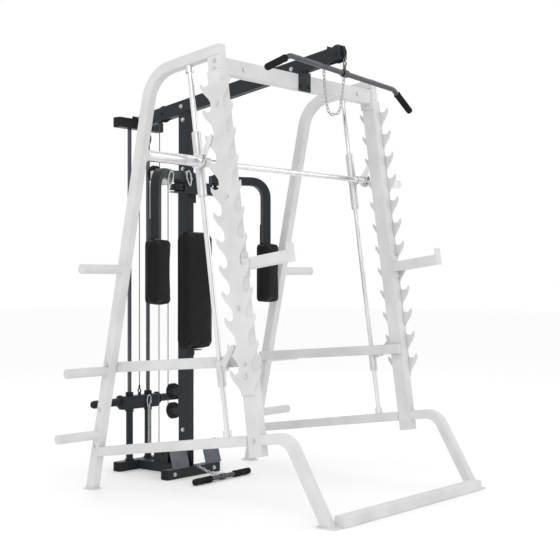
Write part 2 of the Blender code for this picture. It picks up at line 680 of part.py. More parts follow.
def carriage():
    """The sliding carriage with its plate pegs, bushes and cable eye."""
    low, high = CARRIAGE_Z
    middle = (low + high) / 2
    bore = 0.0118
    made = node("carriage", solid(block, (-0.135, 1.2265, low), (0.135, 1.2735, high), 0.006),
                "charcoal_coat", (0.0, STACK_Y, middle))
    length = CARRIAGE_BAR_X - 0.130
    for sign in (-1, 1):
        spot = (sign * STACK_X, STACK_Y)
        cut(made, solid(rod, (*spot, low - 0.02), (*spot, high + 0.02), bore, 14))
        join(made, solid(turned, (*spot, high - 0.001), AXIS_Z,
                         [(0.0, 0.019), (0.019, 0.019), (0.021, 0.017)], 14, bore=bore + 0.0004),
             solid(turned, (sign * 0.130, STACK_Y, middle + 0.008), AXIS_X * sign, [
                 (0.0, 0.0235), (0.009, 0.0235), (0.010, 0.0215), (length - 0.006, 0.0215),
                 (length, 0.018)], 14))
    eye = [Vector((0.0, STRAND_Y + 0.011 * a, high + 0.024 + 0.011 * b))
           for a, b in circle(1.0, 8)]
    join(made, solid(turned, (0.0, STRAND_Y, high - 0.001), AXIS_Z,
                     [(0.0, 0.009), (0.014, 0.009)], 12),
         solid(sweep, eye, circle(0.004, 5), AXIS_X, closed=True),
         solid(turned, (0.0, STRAND_Y, high + 0.034), AXIS_Z,
               [(0.0, 0.0055), (0.020, 0.0055), (0.0225, 0.004)], 12))


def pulley(name, y, z):
    """A grooved wheel whose cable rides in the groove."""
    half, rim, tall = 0.0115, 0.0020, PULLEY_RADIUS
    shape = solid(turned, (-half, y, z), AXIS_X, [
        (0.0, tall), (rim, tall), (half - 0.003, GROOVE_RADIUS),
        (half + 0.003, GROOVE_RADIUS), (2 * half - rim, tall), (2 * half, tall)], bore=AXLE_RADIUS + 0.0005)
    node(name, shape, "black_plastic", (0.0, y, z))


def floating_block():
    """The block that hangs in a loop of the upper cable and pulls the other two."""
    y, z = FLOAT_PULLEY
    strand = COLUMN_PULLEY_Y + CABLE_RIDE
    pin_z = z - 0.0555
    made = node("floating_block", solid(rod, (-SLOT - CHEEK, strand, pin_z),
                                        (SLOT + CHEEK, strand, pin_z), 0.004, 12), "zinc")
    cheeks(made, [(y + 0.012, z - 0.030), (y + 0.012, z + 0.014), (y - 0.012, z + 0.014),
                  (strand - 0.012, z - 0.046), (strand - 0.012, z - 0.064),
                  (y - 0.010, z - 0.064)])
    axle(made, FLOAT_PULLEY)
    anchor = BASE_PULLEY[0] + CABLE_RIDE
    join(made, solid(rod, (-SLOT - CHEEK, anchor, pin_z), (SLOT + CHEEK, anchor, pin_z), 0.004, 12))


def arc(centre, radius, start, end, steps=8):
    """Points of an arc in the side view, by angles in degrees from +Y towards +Z."""
    points = []
    for i in range(steps + 1):
        angle = math.radians(start + (end - start) * i / steps)
        points.append(Vector((0.0, centre[0] + radius * math.cos(angle),
                              centre[1] + radius * math.sin(angle))))
    return points


def cables():
    """The steel cables, each drawn taut along its pulleys."""
    wire = circle(CABLE_RADIUS, 6)
    slant = math.degrees(BEAM_TILT)
    path = [Vector((0.0, STRAND_Y, CARRIAGE_Z[1] + 0.057))]
    path += arc(REAR_PULLEY, CABLE_RIDE, 0, 180)
    path += arc(FLOAT_PULLEY, CABLE_RIDE, 0, -180)
    path += arc(MID_PULLEY, CABLE_RIDE, 0, 90 - slant, 6)
    path += arc(FRONT_PULLEY, CABLE_RIDE, 90 - slant, 180, 8)
    path += [Vector((0.0, LAT_DROP_Y, LAT_BAR_Z + 0.0665))]
    node("lat_cable", solid(sweep, path, wire, AXIS_X), "steel_cable")
    pin_z = FLOAT_PULLEY[1] - 0.0605
    path = [Vector((0.0, BASE_PULLEY[0] + CABLE_RIDE, pin_z))]
    path += arc(BASE_PULLEY, CABLE_RIDE, 0, -90, 6)
    path += [Vector((0.0, 0.822, LOW_CABLE_Z))]
    node("low_cable", solid(sweep, path, wire, AXIS_X), "steel_cable")
    yoke_z = 1.512
    inner = COLUMN_PULLEY_Y - CABLE_RIDE
    path = [Vector((0.0, COLUMN_PULLEY_Y + CABLE_RIDE, pin_z))]
    path += arc((COLUMN_PULLEY_Y, COLUMN_PULLEYS["lower"]), CABLE_RIDE, 0, -180)
    path += [Vector((0.0, inner, yoke_z))]
    made = node("arm_cable", solid(sweep, path, wire, AXIS_X), "steel_cable")
    join(made, solid(rod, (0.0, inner, yoke_z - 0.008), (0.0, inner, yoke_z + 0.008), 0.008, 12))
    for sign in (-1, 1):
        end = Vector((sign * (ARM_PIVOT[0] - 0.006), ARM_PIVOT[1] + 0.0405, yoke_z))
        join(made, solid(sweep, [Vector((0.0, inner, yoke_z)), end], wire, AXIS_Z))


# ---- Back pad, foot treads and butterfly arms ---------------------------------------
def back_pad():
    (x0, y0, z0), (x1, y1, z1) = BACK_PAD
    outline = [(x, z + (z0 + z1) / 2) for x, z in rounded_box(x1 - x0, z1 - z0, 0.028)]
    soften(node("back_pad", solid(prism, outline, "Y", y0, y1), "black_vinyl"), 0.010)


def foot_tread(name, low, high):
    """A plate on the tower's front foot, leaning back, that a foot pushes against."""
    lean = math.radians(17.0)
    length, thick = 0.130, 0.006
    up = Vector((math.sin(lean), math.cos(lean)))
    out = Vector((-math.cos(lean), math.sin(lean)))
    base = Vector((0.840, FOOT_HEIGHT + GAP))
    outline = [base, base + up * length, base + up * length + out * thick,
               base + Vector((-thick / math.cos(lean), 0.0))]
    node(name + "_foot_tread", solid(prism, outline, "X", low, high), "zinc")


def yoke():
    """The bracket on the column that the butterfly arms turn in."""
    back = COLUMN_Y[0] - GAP
    plates = [(-0.178, 0.798), (0.178, 0.798), (0.178, 0.842), (0.110, back),
              (-0.110, back), (-0.178, 0.842)]
    made = node("yoke", solid(block, (-0.105, 0.800, 1.487), (0.105, back - 0.001, 1.541)),
                "charcoal_coat")
    arch = [(0.062 * math.cos(math.radians(a)), 1.543 + 0.062 * math.sin(math.radians(a)))
            for a in range(0, 181, 15)]
    join(made, solid(prism, plates, "Z", 1.484, 1.489), solid(prism, plates, "Z", 1.539, 1.544),
         solid(block, (-0.033, back - WALL, 1.440), (0.033, back, 1.4885)),
         solid(prism, arch, "Y", back - 0.004, back - GAP))
    for sign in (-1, 1):
        spot = (sign * ARM_PIVOT[0], ARM_PIVOT[1])
        cut(made, solid(rod, (*spot, 1.47), (*spot, 1.56), 0.0107, 14))


def butterfly_arm(name, sign):
    """An arm with its pivot post and cam, and its pad."""
    pivot = Vector((sign * ARM_PIVOT[0], ARM_PIVOT[1], ARM_LEVEL_Z))
    corner = Vector((sign * ARM_REACH[0], ARM_REACH[1], ARM_LEVEL_Z))
    foot = Vector((corner.x, corner.y, PAD_Z[1] - 0.012))
    outward = (corner - pivot).normalized()
    start = pivot - outward * 0.028
    path = bend([start, corner, foot], 0.085, 7)
    made = node(name + "_arm", solid(sweep, path, rounded_box(ARM_TUBE, ARM_TUBE),
                                     outward.cross(AXIS_Z)), "charcoal_coat", pivot)
    rear = corner.y + ARM_TUBE / 2
    cam = [(0.0, 0.036), (0.005, 0.036), (0.012, 0.031), (0.018, 0.031), (0.025, 0.036),
           (0.030, 0.036)]
    join(made, solid(rod, (pivot.x, pivot.y, 1.4845), (pivot.x, pivot.y, ARM_LEVEL_Z), 0.010, 14),
         solid(turned, (pivot.x, pivot.y, 1.497), AXIS_Z, cam),
         solid(block, (corner.x - 0.018, rear - 0.002, PAD_Z[0] + 0.05),
               (corner.x + 0.018, rear + 0.004, PAD_Z[1] + 0.09)),
         solid(turned, (pivot.x, pivot.y, ARM_LEVEL_Z + ARM_TUBE / 2 - 0.001), AXIS_Z,
               [(0.0, 0.0125), (0.007, 0.0125), (0.008, 0.0110)], 6))
    width, depth = PAD_SIZE
    low, high = PAD_Z[0], PAD_Z[1] - 0.013
    pad_rear = rear - 0.002 - GAP
    outline = [(x + corner.x, z + (low + high) / 2)
               for x, z in rounded_box(width, high - low, 0.014)]
    soften(node(name + "_arm_pad", solid(prism, outline, "Y", pad_rear - depth, pad_rear),
                "black_vinyl", pivot), 0.009)


# ---- Lat bar, low handle and chains -------------------------------------------------
def grip(name, inner, outer, length, origin):
    """A rubber sleeve on a bar's end."""
    out = (outer - inner).normalized()
    node(name, solid(turned, outer - out * length, out, [
        (0.0, 0.0178), (0.006, 0.0178), (0.007, 0.0163), (length - 0.001, 0.0163)],
        12, bore=LAT_BAR_RADIUS + 0.0009), "black_rubber", origin)


def lat_bar():
    """The pull-down bar with its hub and snap link, and a grip on each bent end."""
    def tilted(x, z):
        return Vector((x * math.cos(LAT_BAR_TILT) + z * math.sin(LAT_BAR_TILT), LAT_DROP_Y,
                       LAT_BAR_Z - x * math.sin(LAT_BAR_TILT) + z * math.cos(LAT_BAR_TILT)))
    reach = LAT_BAR_END * math.cos(LAT_BAR_DROOP)
    drop = LAT_BAR_END * math.sin(LAT_BAR_DROOP)
    origin = (0.0, LAT_DROP_Y, LAT_BAR_Z)
    corners = [(-LAT_BAR_HALF - reach, -drop), (-LAT_BAR_HALF, 0.0), (LAT_BAR_HALF, 0.0),
               (LAT_BAR_HALF + reach, -drop)]
    points = [tilted(x, z) for x, z in corners]
    path = bend(points, 0.060, 4)
    made = node("lat_bar", solid(sweep, path, circle(LAT_BAR_RADIUS, 12), AXIS_Y), "chrome",
                origin)
    along = (points[2] - points[1]).normalized()
    eye_z = LAT_BAR_Z + 0.0475
    eye = [Vector((0.0, LAT_DROP_Y + 0.0095 * a, eye_z + 0.0150 * b)) for a, b in circle(1.0, 10)]
    join(made, solid(turned, Vector(origin) - along * 0.018, along,
                     [(0.0, 0.0175), (0.002, 0.019), (0.034, 0.019), (0.036, 0.0175)]),
         solid(rod, (0.0, LAT_DROP_Y, LAT_BAR_Z + 0.015), (0.0, LAT_DROP_Y, LAT_BAR_Z + 0.034),
               0.0065, 12),
         solid(sweep, eye, circle(0.0022, 5), AXIS_X, closed=True))
    grip("left_lat_grip", points[1], points[0], 0.140, origin)
    grip("right_lat_grip", points[2], points[3], 0.140, origin)


def spare_chain():
    """The closed outline of a chain that hangs in a loop beside the beam's front end."""
    x, first, last, depth = 0.042, 0.015, -0.115, 0.270
    top = beam_middle((first + last) / 2)
    steps = 20
    path = []
    for i in range(steps + 1):
        t = i / steps
        path.append((x, first + (last - first) * t, top - depth * (1 - (2 * t - 1) ** 4)))
    node("spare_chain", solid(sweep, path, circle(CHAIN_RADIUS, 6), AXIS_X), "zinc")


def low_handle():
    """The low pulley's bar with its hub and eye, its grips and its chain."""
    yaw = math.radians(3.4)
    middle = Vector(LOW_BAR_CENTRE)
    along = Vector((math.cos(yaw), math.sin(yaw), 0.0))
    made = node("low_handle", solid(turned, middle - along * LOW_BAR_HALF, along,
                                    [(0.0, LAT_BAR_RADIUS), (2 * LOW_BAR_HALF, LAT_BAR_RADIUS)], 12),
                "chrome", middle)
    eye = [Vector((0.0, middle.y + 0.0225 + 0.0085 * a, middle.z + 0.0085 * b))
           for a, b in circle(1.0, 8)]
    join(made, solid(turned, middle - along * 0.020, along,
                     [(0.0, 0.0150), (0.002, 0.0164), (0.038, 0.0164), (0.040, 0.0150)], 12),
         solid(sweep, eye, circle(0.0025, 5), AXIS_X, closed=True))
    for name, way in SIDES:
        grip(name + "_low_grip", middle, middle + along * LOW_BAR_HALF * way, 0.130, middle)
    path = [Vector((0.0, 0.6690, middle.z)), Vector((0.0, 0.700, middle.z + 0.002)),
            Vector((0.0, 0.760, middle.z + 0.022)), Vector((0.0, 0.818, LOW_CABLE_Z))]
    node("low_chain", solid(sweep, path, circle(CHAIN_RADIUS, 6), AXIS_X), "zinc", middle)


def build():
    clear_scene()
    datum = bpy.data.objects.new("datum", None)
    datum.location = (0.0, DATUM_Y, 0.0)
    bpy.context.collection.objects.link(datum)
    for name, sign in SIDES:
        rear_frame(name, sign)
        upright(name, sign)
        gun_rack(name, sign)
        front_leg(name, sign)
        rails(name, sign)
        guide_rod(name, sign)
        safety_arm(name, sign)
        bar_bearing(name, sign)
        safety_stop(name, sign)
        butterfly_arm(name, sign)
    cross_members()
    smith_bar()
    tower_base()
    column()
    lat_beam()
    carriage_track()
    carriage()
    floating_block()
    cables()
    back_pad()
    foot_tread("left", -0.153, -0.033)
    foot_tread("right", 0.098, 0.215)
    yoke()
    lat_bar()
    spare_chain()
    low_handle()
    pulley("beam_rear_pulley", *REAR_PULLEY)
    pulley("beam_mid_pulley", *MID_PULLEY)
    pulley("beam_front_pulley", *FRONT_PULLEY)
    pulley("floating_pulley", *FLOAT_PULLEY)
    pulley("base_pulley", *BASE_PULLEY)
    pulley("low_pulley", *LOW_PULLEY)
    for level, height in COLUMN_PULLEYS.items():
        pulley("column_pulley_" + level, COLUMN_PULLEY_Y, height)


build()
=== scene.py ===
"""The looks of a multi station home gym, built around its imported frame: upholstered pads,
bolts, end caps, pulleys, cables, chains, snap hooks, grips, treads and every finish."""
import json
import math

import bpy
from mathutils import Matrix, Vector
from mathutils.bvhtree import BVHTree


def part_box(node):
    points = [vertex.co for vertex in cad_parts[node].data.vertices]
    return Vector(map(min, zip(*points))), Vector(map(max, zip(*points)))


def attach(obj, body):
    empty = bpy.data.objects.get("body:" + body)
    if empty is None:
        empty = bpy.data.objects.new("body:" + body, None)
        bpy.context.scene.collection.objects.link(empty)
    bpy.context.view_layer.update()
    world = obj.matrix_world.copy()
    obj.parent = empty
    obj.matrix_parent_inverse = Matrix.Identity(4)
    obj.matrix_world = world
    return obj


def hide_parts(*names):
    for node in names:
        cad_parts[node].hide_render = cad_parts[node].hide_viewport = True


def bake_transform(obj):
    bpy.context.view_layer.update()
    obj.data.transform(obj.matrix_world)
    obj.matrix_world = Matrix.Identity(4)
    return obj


bl_info = {
    "name": "Multi station home gym",
    "version": (1, 0, 0),
    "blender": (4, 5, 0),
    "location": "View3D > Sidebar > Home gym",
    "description": "Adds the upholstery, fittings and finishes of a multi station home gym",
    "category": "Object",
}

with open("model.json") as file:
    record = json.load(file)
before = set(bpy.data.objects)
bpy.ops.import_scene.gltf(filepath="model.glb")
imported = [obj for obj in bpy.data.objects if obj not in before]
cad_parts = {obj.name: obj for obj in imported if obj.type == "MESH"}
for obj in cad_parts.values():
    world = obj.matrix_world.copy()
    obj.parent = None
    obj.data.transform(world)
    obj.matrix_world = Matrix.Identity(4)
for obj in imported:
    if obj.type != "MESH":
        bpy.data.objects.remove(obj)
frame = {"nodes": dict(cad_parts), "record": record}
NODES = frame["nodes"]
SLOT_OF = {part["node"]: part["material_slot"] for part in frame["record"]["subparts"]}
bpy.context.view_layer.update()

# ---- Places on the frame, in metres ---------------------------------------------------
LEAN = math.radians(8.0)
ALONG = Vector((0.0, math.sin(LEAN), math.cos(LEAN)))
BACK = Vector((0.0, math.cos(LEAN), -math.sin(LEAN)))
UPRIGHT_REAR = Vector((0.0, -0.3052, 1.199))
SIDES = (("left", -1), ("right", 1))
Y, Z = Vector((0, 1, 0)), Vector((0, 0, 1))
CABLE_RIDE = 0.0388
REAR_PULLEY = Vector((0, 0.8462, 1.805))
FLOAT_PULLEY = Vector((0, 0.7686, 1.610))
MID_PULLEY = Vector((0, 0.6910, 1.92589))
FRONT_PULLEY = Vector((0, -0.4650, 2.10946))
BASE_PULLEY = Vector((0, 0.6955, 0.095))
LOW_PULLEY = Vector((0, 0.5320, 0.095))
COLUMN_UPPER = Vector((0, 0.6270, 0.4355))
COLUMN_LOWER = Vector((0, 0.6270, 0.334))
BEAM_SLANT = math.degrees(math.atan(0.1588))
STRAND_Y = 0.885
YOKE_Z = 1.512
LAT_DROP_Y = FRONT_PULLEY.y - CABLE_RIDE
LAT_BAR_Z = 2.012
LAT_TILT = math.radians(3.2)
LOW_MIDDLE = Vector((0, 0.274, 0.0181))
LOW_CABLE_Z = LOW_PULLEY.z - CABLE_RIDE
CARRIAGE_Z = (0.330, 0.400)
CARRIAGE_Y = 0.890
ROD_X = 0.070
CARRIAGE_CHAIN = Vector((0.046, 0.8580, 0.366))     # a snap hook on the carriage's front
CARRIAGE_EYE_Z = 0.457
PIN_Z = FLOAT_PULLEY.z - 0.0605                     # the floating block's lower pin
LAT_EYE_Z = LAT_BAR_Z + 0.070
LOW_EYE_Y = 0.4580
LEG_SPREAD = math.radians(11.8)
PEG_HEIGHTS = (1.083, 0.590, 0.275)

# ---- Sizes of the fittings, in metres -------------------------------------------------
PAD_INSET = 0.004           # how much smaller the cover starts than its pad
PAD_GRID = 0.0055           # the size of the cover's cells
GRID_SLACK = 0.004          # how far a cell may lie off the pad's rear face
BOARD_DEPTH = 0.012         # the part of the cover that the board holds still
PAD_CROWN = 0.006           # how far the middle of the front is rounded out
PAD_SIDE = 0.004            # how far the cover may stand out at the sides
SWELL_STEPS = 18
PIPING_STEPS = 96
LINK_PITCH = 0.0182
LINK_RADIUS = 0.0062
LINK_STRETCH = 0.0048
WHEEL_HOLES = 6
GRIP_RIBS = 26
STUD_ROWS = 8
HOOK_WIRE = 0.0022
LAT_GRIP_LENGTH = 0.140
LOW_GRIP_LENGTH = 0.130
FITTING_REACH = 0.6         # how far from a tube a fitting starts, to be pushed onto it


class GymSizes(bpy.types.PropertyGroup):
    """Sizes of the fittings."""
    bolt_across: bpy.props.FloatProperty(
        name="Bolt head", description="Width across a bolt head's flats", default=0.016,
        min=0.006, max=0.03, unit="LENGTH")
    cap_depth: bpy.props.FloatProperty(
        name="End cap", description="How far a tube's end cap stands proud", default=0.004,
        min=0.001, max=0.01, unit="LENGTH")
    cable_width: bpy.props.FloatProperty(
        name="Cable", description="Diameter of the steel cables", default=0.0050,
        min=0.002, max=0.008, unit="LENGTH")
    link_wire: bpy.props.FloatProperty(
        name="Chain wire", description="Diameter of the wire of a chain link", default=0.0048,
        min=0.002, max=0.006, unit="LENGTH")
    pad_swell: bpy.props.FloatProperty(
        name="Pad swell", description="Furthest that the upholstery swells", default=0.006,
        min=0.0, max=0.02, unit="LENGTH")


class GymColours(bpy.types.PropertyGroup):
    """Colours of the finishes."""
    frame_coat: bpy.props.FloatVectorProperty(
        name="Frame coat", description="Powder coat of the rack", subtype="COLOR", size=3,
        min=0, max=1, default=(0.655, 0.655, 0.662))
    tower_coat: bpy.props.FloatVectorProperty(
        name="Tower coat", description="Powder coat of the pulley tower", subtype="COLOR",
        size=3, min=0, max=1, default=(0.0235, 0.0275, 0.0305))
    vinyl: bpy.props.FloatVectorProperty(
        name="Vinyl", description="Upholstery of the pads", subtype="COLOR", size=3,
        min=0, max=1, default=(0.0095, 0.0095, 0.0102))


# ---- Finishes --------------------------------------------------------------------------
FINISHES = {}


def new_finish(name, colour, roughness, metallic=0.0):
    """A material under a finish's name; gives it, its tree, its shader and coordinates."""
    made = bpy.data.materials.new(name + "_finish")
    FINISHES[name] = made
    made.use_nodes = True
    tree = made.node_tree
    shader = tree.nodes["Principled BSDF"]
    shader.inputs["Specular IOR Level"].default_value = 0.15
    shader.inputs["Base Color"].default_value = (*colour, 1)
    shader.inputs["Roughness"].default_value = roughness
    shader.inputs["Metallic"].default_value = metallic
    place = tree.nodes.new("ShaderNodeTexCoord").outputs["Object"]
    return made, tree, shader, place


def noise(tree, place, scale, detail=3.0, stretch=None):
    """A noise pattern's value, stretched along the axes where asked."""
    if stretch:
        turn = tree.nodes.new("ShaderNodeMapping")
        turn.inputs["Scale"].default_value = stretch
        tree.links.new(place, turn.inputs["Vector"])
        place = turn.outputs["Vector"]
    made = tree.nodes.new("ShaderNodeTexNoise")
    made.inputs["Scale"].default_value = scale
    made.inputs["Detail"].default_value = detail
    tree.links.new(place, made.inputs["Vector"])
    return made.outputs["Fac"]


def spread(tree, value, low, high, start=0.35, end=0.65):
    """The pattern's value, mapped to run from low to high."""
    made = tree.nodes.new("ShaderNodeMapRange")
    made.inputs["From Min"].default_value = start
    made.inputs["From Max"].default_value = end
    made.inputs["To Min"].default_value = low
    made.inputs["To Max"].default_value = high
    tree.links.new(value, made.inputs["Value"])
    return made.outputs["Result"]


def shade_between(tree, value, first, second):
    """A colour between two, by the pattern's value; inputs 6 and 7 are the two colours."""
    made = tree.nodes.new("ShaderNodeMix")
    made.data_type = "RGBA"
    made.inputs[6].default_value = (*first, 1)
    made.inputs[7].default_value = (*second, 1)
    tree.links.new(value, made.inputs[0])
    return made.outputs[2]


def emboss(tree, shader, value, strength, distance):
    """Lead the pattern's value to the shader as relief, over what is there already."""
    made = tree.nodes.new("ShaderNodeBump")
    made.inputs["Strength"].default_value = strength
    made.inputs["Distance"].default_value = distance
    tree.links.new(value, made.inputs["Height"])
    if shader.inputs["Normal"].is_linked:
        tree.links.new(shader.inputs["Normal"].links[0].from_socket, made.inputs["Normal"])
    tree.links.new(made.outputs["Normal"], shader.inputs["Normal"])


def tinted(colour, factor):
    """A colour made darker or lighter by a factor."""
    return tuple(min(1.0, part * factor) for part in colour)


def powder_coat(name, colour, roughness, texture):
    """Baked powder: a fine orange peel, faint clouding, and a rubbed, glossier patchiness."""
    made, tree, shader, place = new_finish(name, colour, roughness)
    cloud = spread(tree, noise(tree, place, 7.0), 0, 1)
    tree.links.new(shade_between(tree, cloud, tinted(colour, 0.94), tinted(colour, 1.05)),
                   shader.inputs["Base Color"])
    tree.links.new(spread(tree, noise(tree, place, 24.0, 5.0), roughness - 0.07,
                          roughness + 0.09), shader.inputs["Roughness"])
    emboss(tree, shader, noise(tree, place, 620.0, 2.0), texture, 0.0004)
    return made


def plated(name, colour, low, high, stretch, brushing):
    """Plated steel: bright, with fine wiping marks along the piece and dull patches."""
    made, tree, shader, place = new_finish(name, colour, low, 1.0)
    marks = noise(tree, place, 90.0, 4.0, stretch)
    patches = noise(tree, place, 14.0, 4.0)
    tree.links.new(spread(tree, patches, low, high), shader.inputs["Roughness"])
    tree.links.new(shade_between(tree, spread(tree, marks, 0, 1), tinted(colour, 0.9),
                                 tinted(colour, 1.06)), shader.inputs["Base Color"])
    emboss(tree, shader, marks, brushing, 0.0002)
    return made


def vinyl(name, colour):
    """Upholstery vinyl: a pebbled grain of cells with creases, and shinier worn patches."""
    made, tree, shader, place = new_finish(name, colour, 0.42)
    cells = tree.nodes.new("ShaderNodeTexVoronoi")
    cells.feature = "DISTANCE_TO_EDGE"
    cells.inputs["Scale"].default_value = 420.0
    tree.links.new(place, cells.inputs["Vector"])
    grain = spread(tree, cells.outputs["Distance"], 0, 1, 0.0, 0.25)
    creases = noise(tree, place, 26.0, 6.0)
    tree.links.new(shade_between(tree, grain, tinted(colour, 0.55), tinted(colour, 1.35)),
                   shader.inputs["Base Color"])
    tree.links.new(spread(tree, creases, 0.34, 0.52), shader.inputs["Roughness"])
    emboss(tree, shader, grain, 0.5, 0.0003)
    emboss(tree, shader, creases, 0.35, 0.0016)
    shader.inputs["Specular IOR Level"].default_value = 0.12
    return made


def moulded(name, colour, roughness, scale, relief):
    """Moulded rubber or plastic: a fine matt skin and a little dust in it."""
    made, tree, shader, place = new_finish(name, colour, roughness)
    shader.inputs["Specular IOR Level"].default_value = 0.05
    dust = spread(tree, noise(tree, place, 30.0, 6.0), 0, 1, 0.45, 0.75)
    tree.links.new(shade_between(tree, dust, colour, tinted(colour, 1.9)),
                   shader.inputs["Base Color"])
    tree.links.new(spread(tree, noise(tree, place, 55.0), roughness - 0.06,
                          roughness + 0.08), shader.inputs["Roughness"])
    emboss(tree, shader, noise(tree, place, scale, 2.0), relief, 0.0003)
    return made


def wire_rope(name, colour):
    """Stranded steel wire: slanting bands in relief, with painted shade darkening the colour in
    the lays between them.
    """
    made, tree, shader, place = new_finish(name, colour, 0.35, 0.9)
    turn = tree.nodes.new("ShaderNodeMapping")
    turn.inputs["Rotation"].default_value = (0.9, 0.75, 0.4)
    tree.links.new(place, turn.inputs["Vector"])
    lays = tree.nodes.new("ShaderNodeTexWave")
    lays.inputs["Scale"].default_value = 150.0
    tree.links.new(turn.outputs["Vector"], lays.inputs["Vector"])
    # Painted shade: the colour falls to 0.35 of the steel's where the bands' relief is low, in
    # the lays.
    tree.links.new(shade_between(tree, lays.outputs["Fac"], tinted(colour, 0.35), colour),
                   shader.inputs["Base Color"])
    emboss(tree, shader, lays.outputs["Fac"], 0.8, 0.0008)
    return made


# Pieces whose finish is a variety of their slot's.
VARIETIES = {"lat_bar": "satin_steel", "low_handle": "satin_steel",
             "left_carriage_rod": "satin_steel", "right_carriage_rod": "satin_steel",
             "left_foot_tread": "dull_zinc", "right_foot_tread": "dull_zinc",
             "left_bar_bearing": "pale_zinc", "right_bar_bearing": "pale_zinc",
             "left_safety_stop": "pale_zinc", "right_safety_stop": "pale_zinc",
             "left_stop_hook": "pale_zinc", "right_stop_hook": "pale_zinc"}


def make_finishes():
    """Every finish of the machine."""
    colours = bpy.context.scene.gym_colours
    plated("satin_steel", (0.10, 0.103, 0.112), 0.22, 0.38, (0.3, 0.3, 0.05), 0.10)
    plated("dull_zinc", (0.14, 0.15, 0.165), 0.38, 0.62, (1, 1, 1), 0.30)
    plated("pale_zinc", (0.70, 0.70, 0.71), 0.34, 0.50, (1, 1, 0.2), 0.10)
    powder_coat("pale_powder_coat", tuple(colours.frame_coat), 0.42, 0.10)
    powder_coat("charcoal_coat", tuple(colours.tower_coat), 0.40, 0.22)
    plated("chrome", (0.80, 0.80, 0.81), 0.14, 0.28, (0.3, 0.3, 0.02), 0.05)
    plated("zinc", (0.56, 0.565, 0.57), 0.26, 0.46, (1, 1, 0.2), 0.15)
    vinyl("black_vinyl", tuple(colours.vinyl))
    moulded("black_rubber", (0.016, 0.016, 0.016), 0.72, 700.0, 0.3)
    moulded("black_plastic", (0.018, 0.018, 0.020), 0.42, 900.0, 0.12)
    wire_rope("steel_cable", (0.15, 0.15, 0.155))


# ---- Working by hand ---------------------------------------------------------------------
def pick(piece=None):
    """Deselect everything, then make one piece active."""
    if bpy.context.object and bpy.context.object.mode != "OBJECT":
        bpy.ops.object.mode_set(mode="OBJECT")
    bpy.ops.object.select_all(action="DESELECT")
    if piece:
        piece.select_set(True)
        bpy.context.view_layer.objects.active = piece
    return piece


def edit_all():
    """Go into edit mode with the whole of the active piece selected."""
    bpy.ops.object.mode_set(mode="EDIT")
    bpy.ops.mesh.select_all(action="SELECT")


def settle(piece, name, body, finish, angle=35.0):
    """Put a piece's place in its mesh, close and smooth it, and let it ride on a body."""
    pick(piece)
    bpy.ops.object.transform_apply(location=True, rotation=True, scale=True)
    edit_all()
    bpy.ops.mesh.remove_doubles(threshold=0.000005)
    bpy.ops.mesh.normals_make_consistent(inside=False)
    bpy.ops.object.mode_set(mode="OBJECT")
    bpy.ops.object.shade_smooth_by_angle(angle=math.radians(angle))
    piece.name = name
    piece.data.name = name
    piece.data.materials.clear()
    piece.data.materials.append(FINISHES[finish])
    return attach(piece, body)


def turned(profile, sides=32):
    """A round solid along Z: a disc extruded and resized through (height, radius) steps."""
    height, radius = profile[0]
    pick()
    bpy.ops.mesh.primitive_circle_add(vertices=sides, radius=radius, fill_type="NGON",
                                      location=(0, 0, height))
    piece = bpy.context.object
    edit_all()
    for next_height, next_radius in profile[1:]:
        bpy.ops.mesh.extrude_region_move(
            TRANSFORM_OT_translate={"value": (0, 0, next_height - height)})
        ratio = next_radius / radius
        bpy.ops.transform.resize(value=(ratio, ratio, 1),
                                 center_override=(0, 0, next_height))
        height, radius = next_height, next_radius
    bpy.ops.object.mode_set(mode="OBJECT")
    bpy.ops.object.transform_apply(location=True, rotation=True, scale=True)
    return piece


def standing(point, direction, roll=0.0):
    """The place of a piece made along Z that is to stand on a point along a direction."""
    turn = Vector(direction).to_track_quat("Z", "Y").to_matrix().to_4x4()
    return Matrix.Translation(point) @ turn @ Matrix.Rotation(roll, 4, "Z")


def joined(pieces):
    """Join pieces into the first of them."""
    pick(pieces[0])
    for piece in pieces:
        piece.select_set(True)
    if len(pieces) > 1:
        bpy.ops.object.join()
    return pieces[0]


def twin_of(pattern, place):
    """A copy of a modelled pattern, moved to its place."""
    twin = pattern.copy()
    twin.data = pattern.data.copy()
    twin.data.transform(place)
    bpy.context.scene.collection.objects.link(twin)
    return twin


def copies(pattern, places, name, body, finish, angle=35.0):
    """Copy a modelled pattern to its places, join the copies and drop the pattern."""
    made = [twin_of(pattern, place) for place in places]
    bpy.data.objects.remove(pattern, do_unlink=True)
    return settle(joined(made), name, body, finish, angle)


def skin(*names):
    """A tree of the frame's surface, to lay fittings on."""
    points, faces = [], []
    for name in names:
        mesh = NODES[name].data
        start = len(points)
        points += [v.co.copy() for v in mesh.vertices]
        faces += [[start + i for i in p.vertices] for p in mesh.polygons]
    return BVHTree.FromPolygons(points, faces)


def landing(surface, point, direction, reach=0.25):
    """Where a fitting pushed from a point along a direction meets the surface, or None."""
    spot, normal, _, _ = surface.ray_cast(Vector(point), Vector(direction), reach)
    return (spot, normal) if spot is not None else None


def side_point(x, along, back):
    """A point from a step along the upright and one behind its rear face."""
    return Vector((x, 0, 0)) + UPRIGHT_REAR + ALONG * along + BACK * back


def tube(points, width, name, body, finish="steel_cable", sides=10):
    """A taut cable or a bent wire along a line of points."""
    line = bpy.data.curves.new(name, "CURVE")
    line.dimensions = "3D"
    line.bevel_depth = width / 2
    line.bevel_resolution = max(1, sides // 4 - 1)
    line.use_fill_caps = True
    spline = line.splines.new("POLY")
    spline.points.add(len(points) - 1)
    for spot, point in zip(spline.points, points):
        spot.co = (*point, 1)
    piece = bpy.data.objects.new(name, line)
    bpy.context.scene.collection.objects.link(piece)
    pick(piece)
    bpy.ops.object.convert(target="MESH")
    return settle(bpy.context.object, name, body, finish, 50.0) if body else bpy.context.object


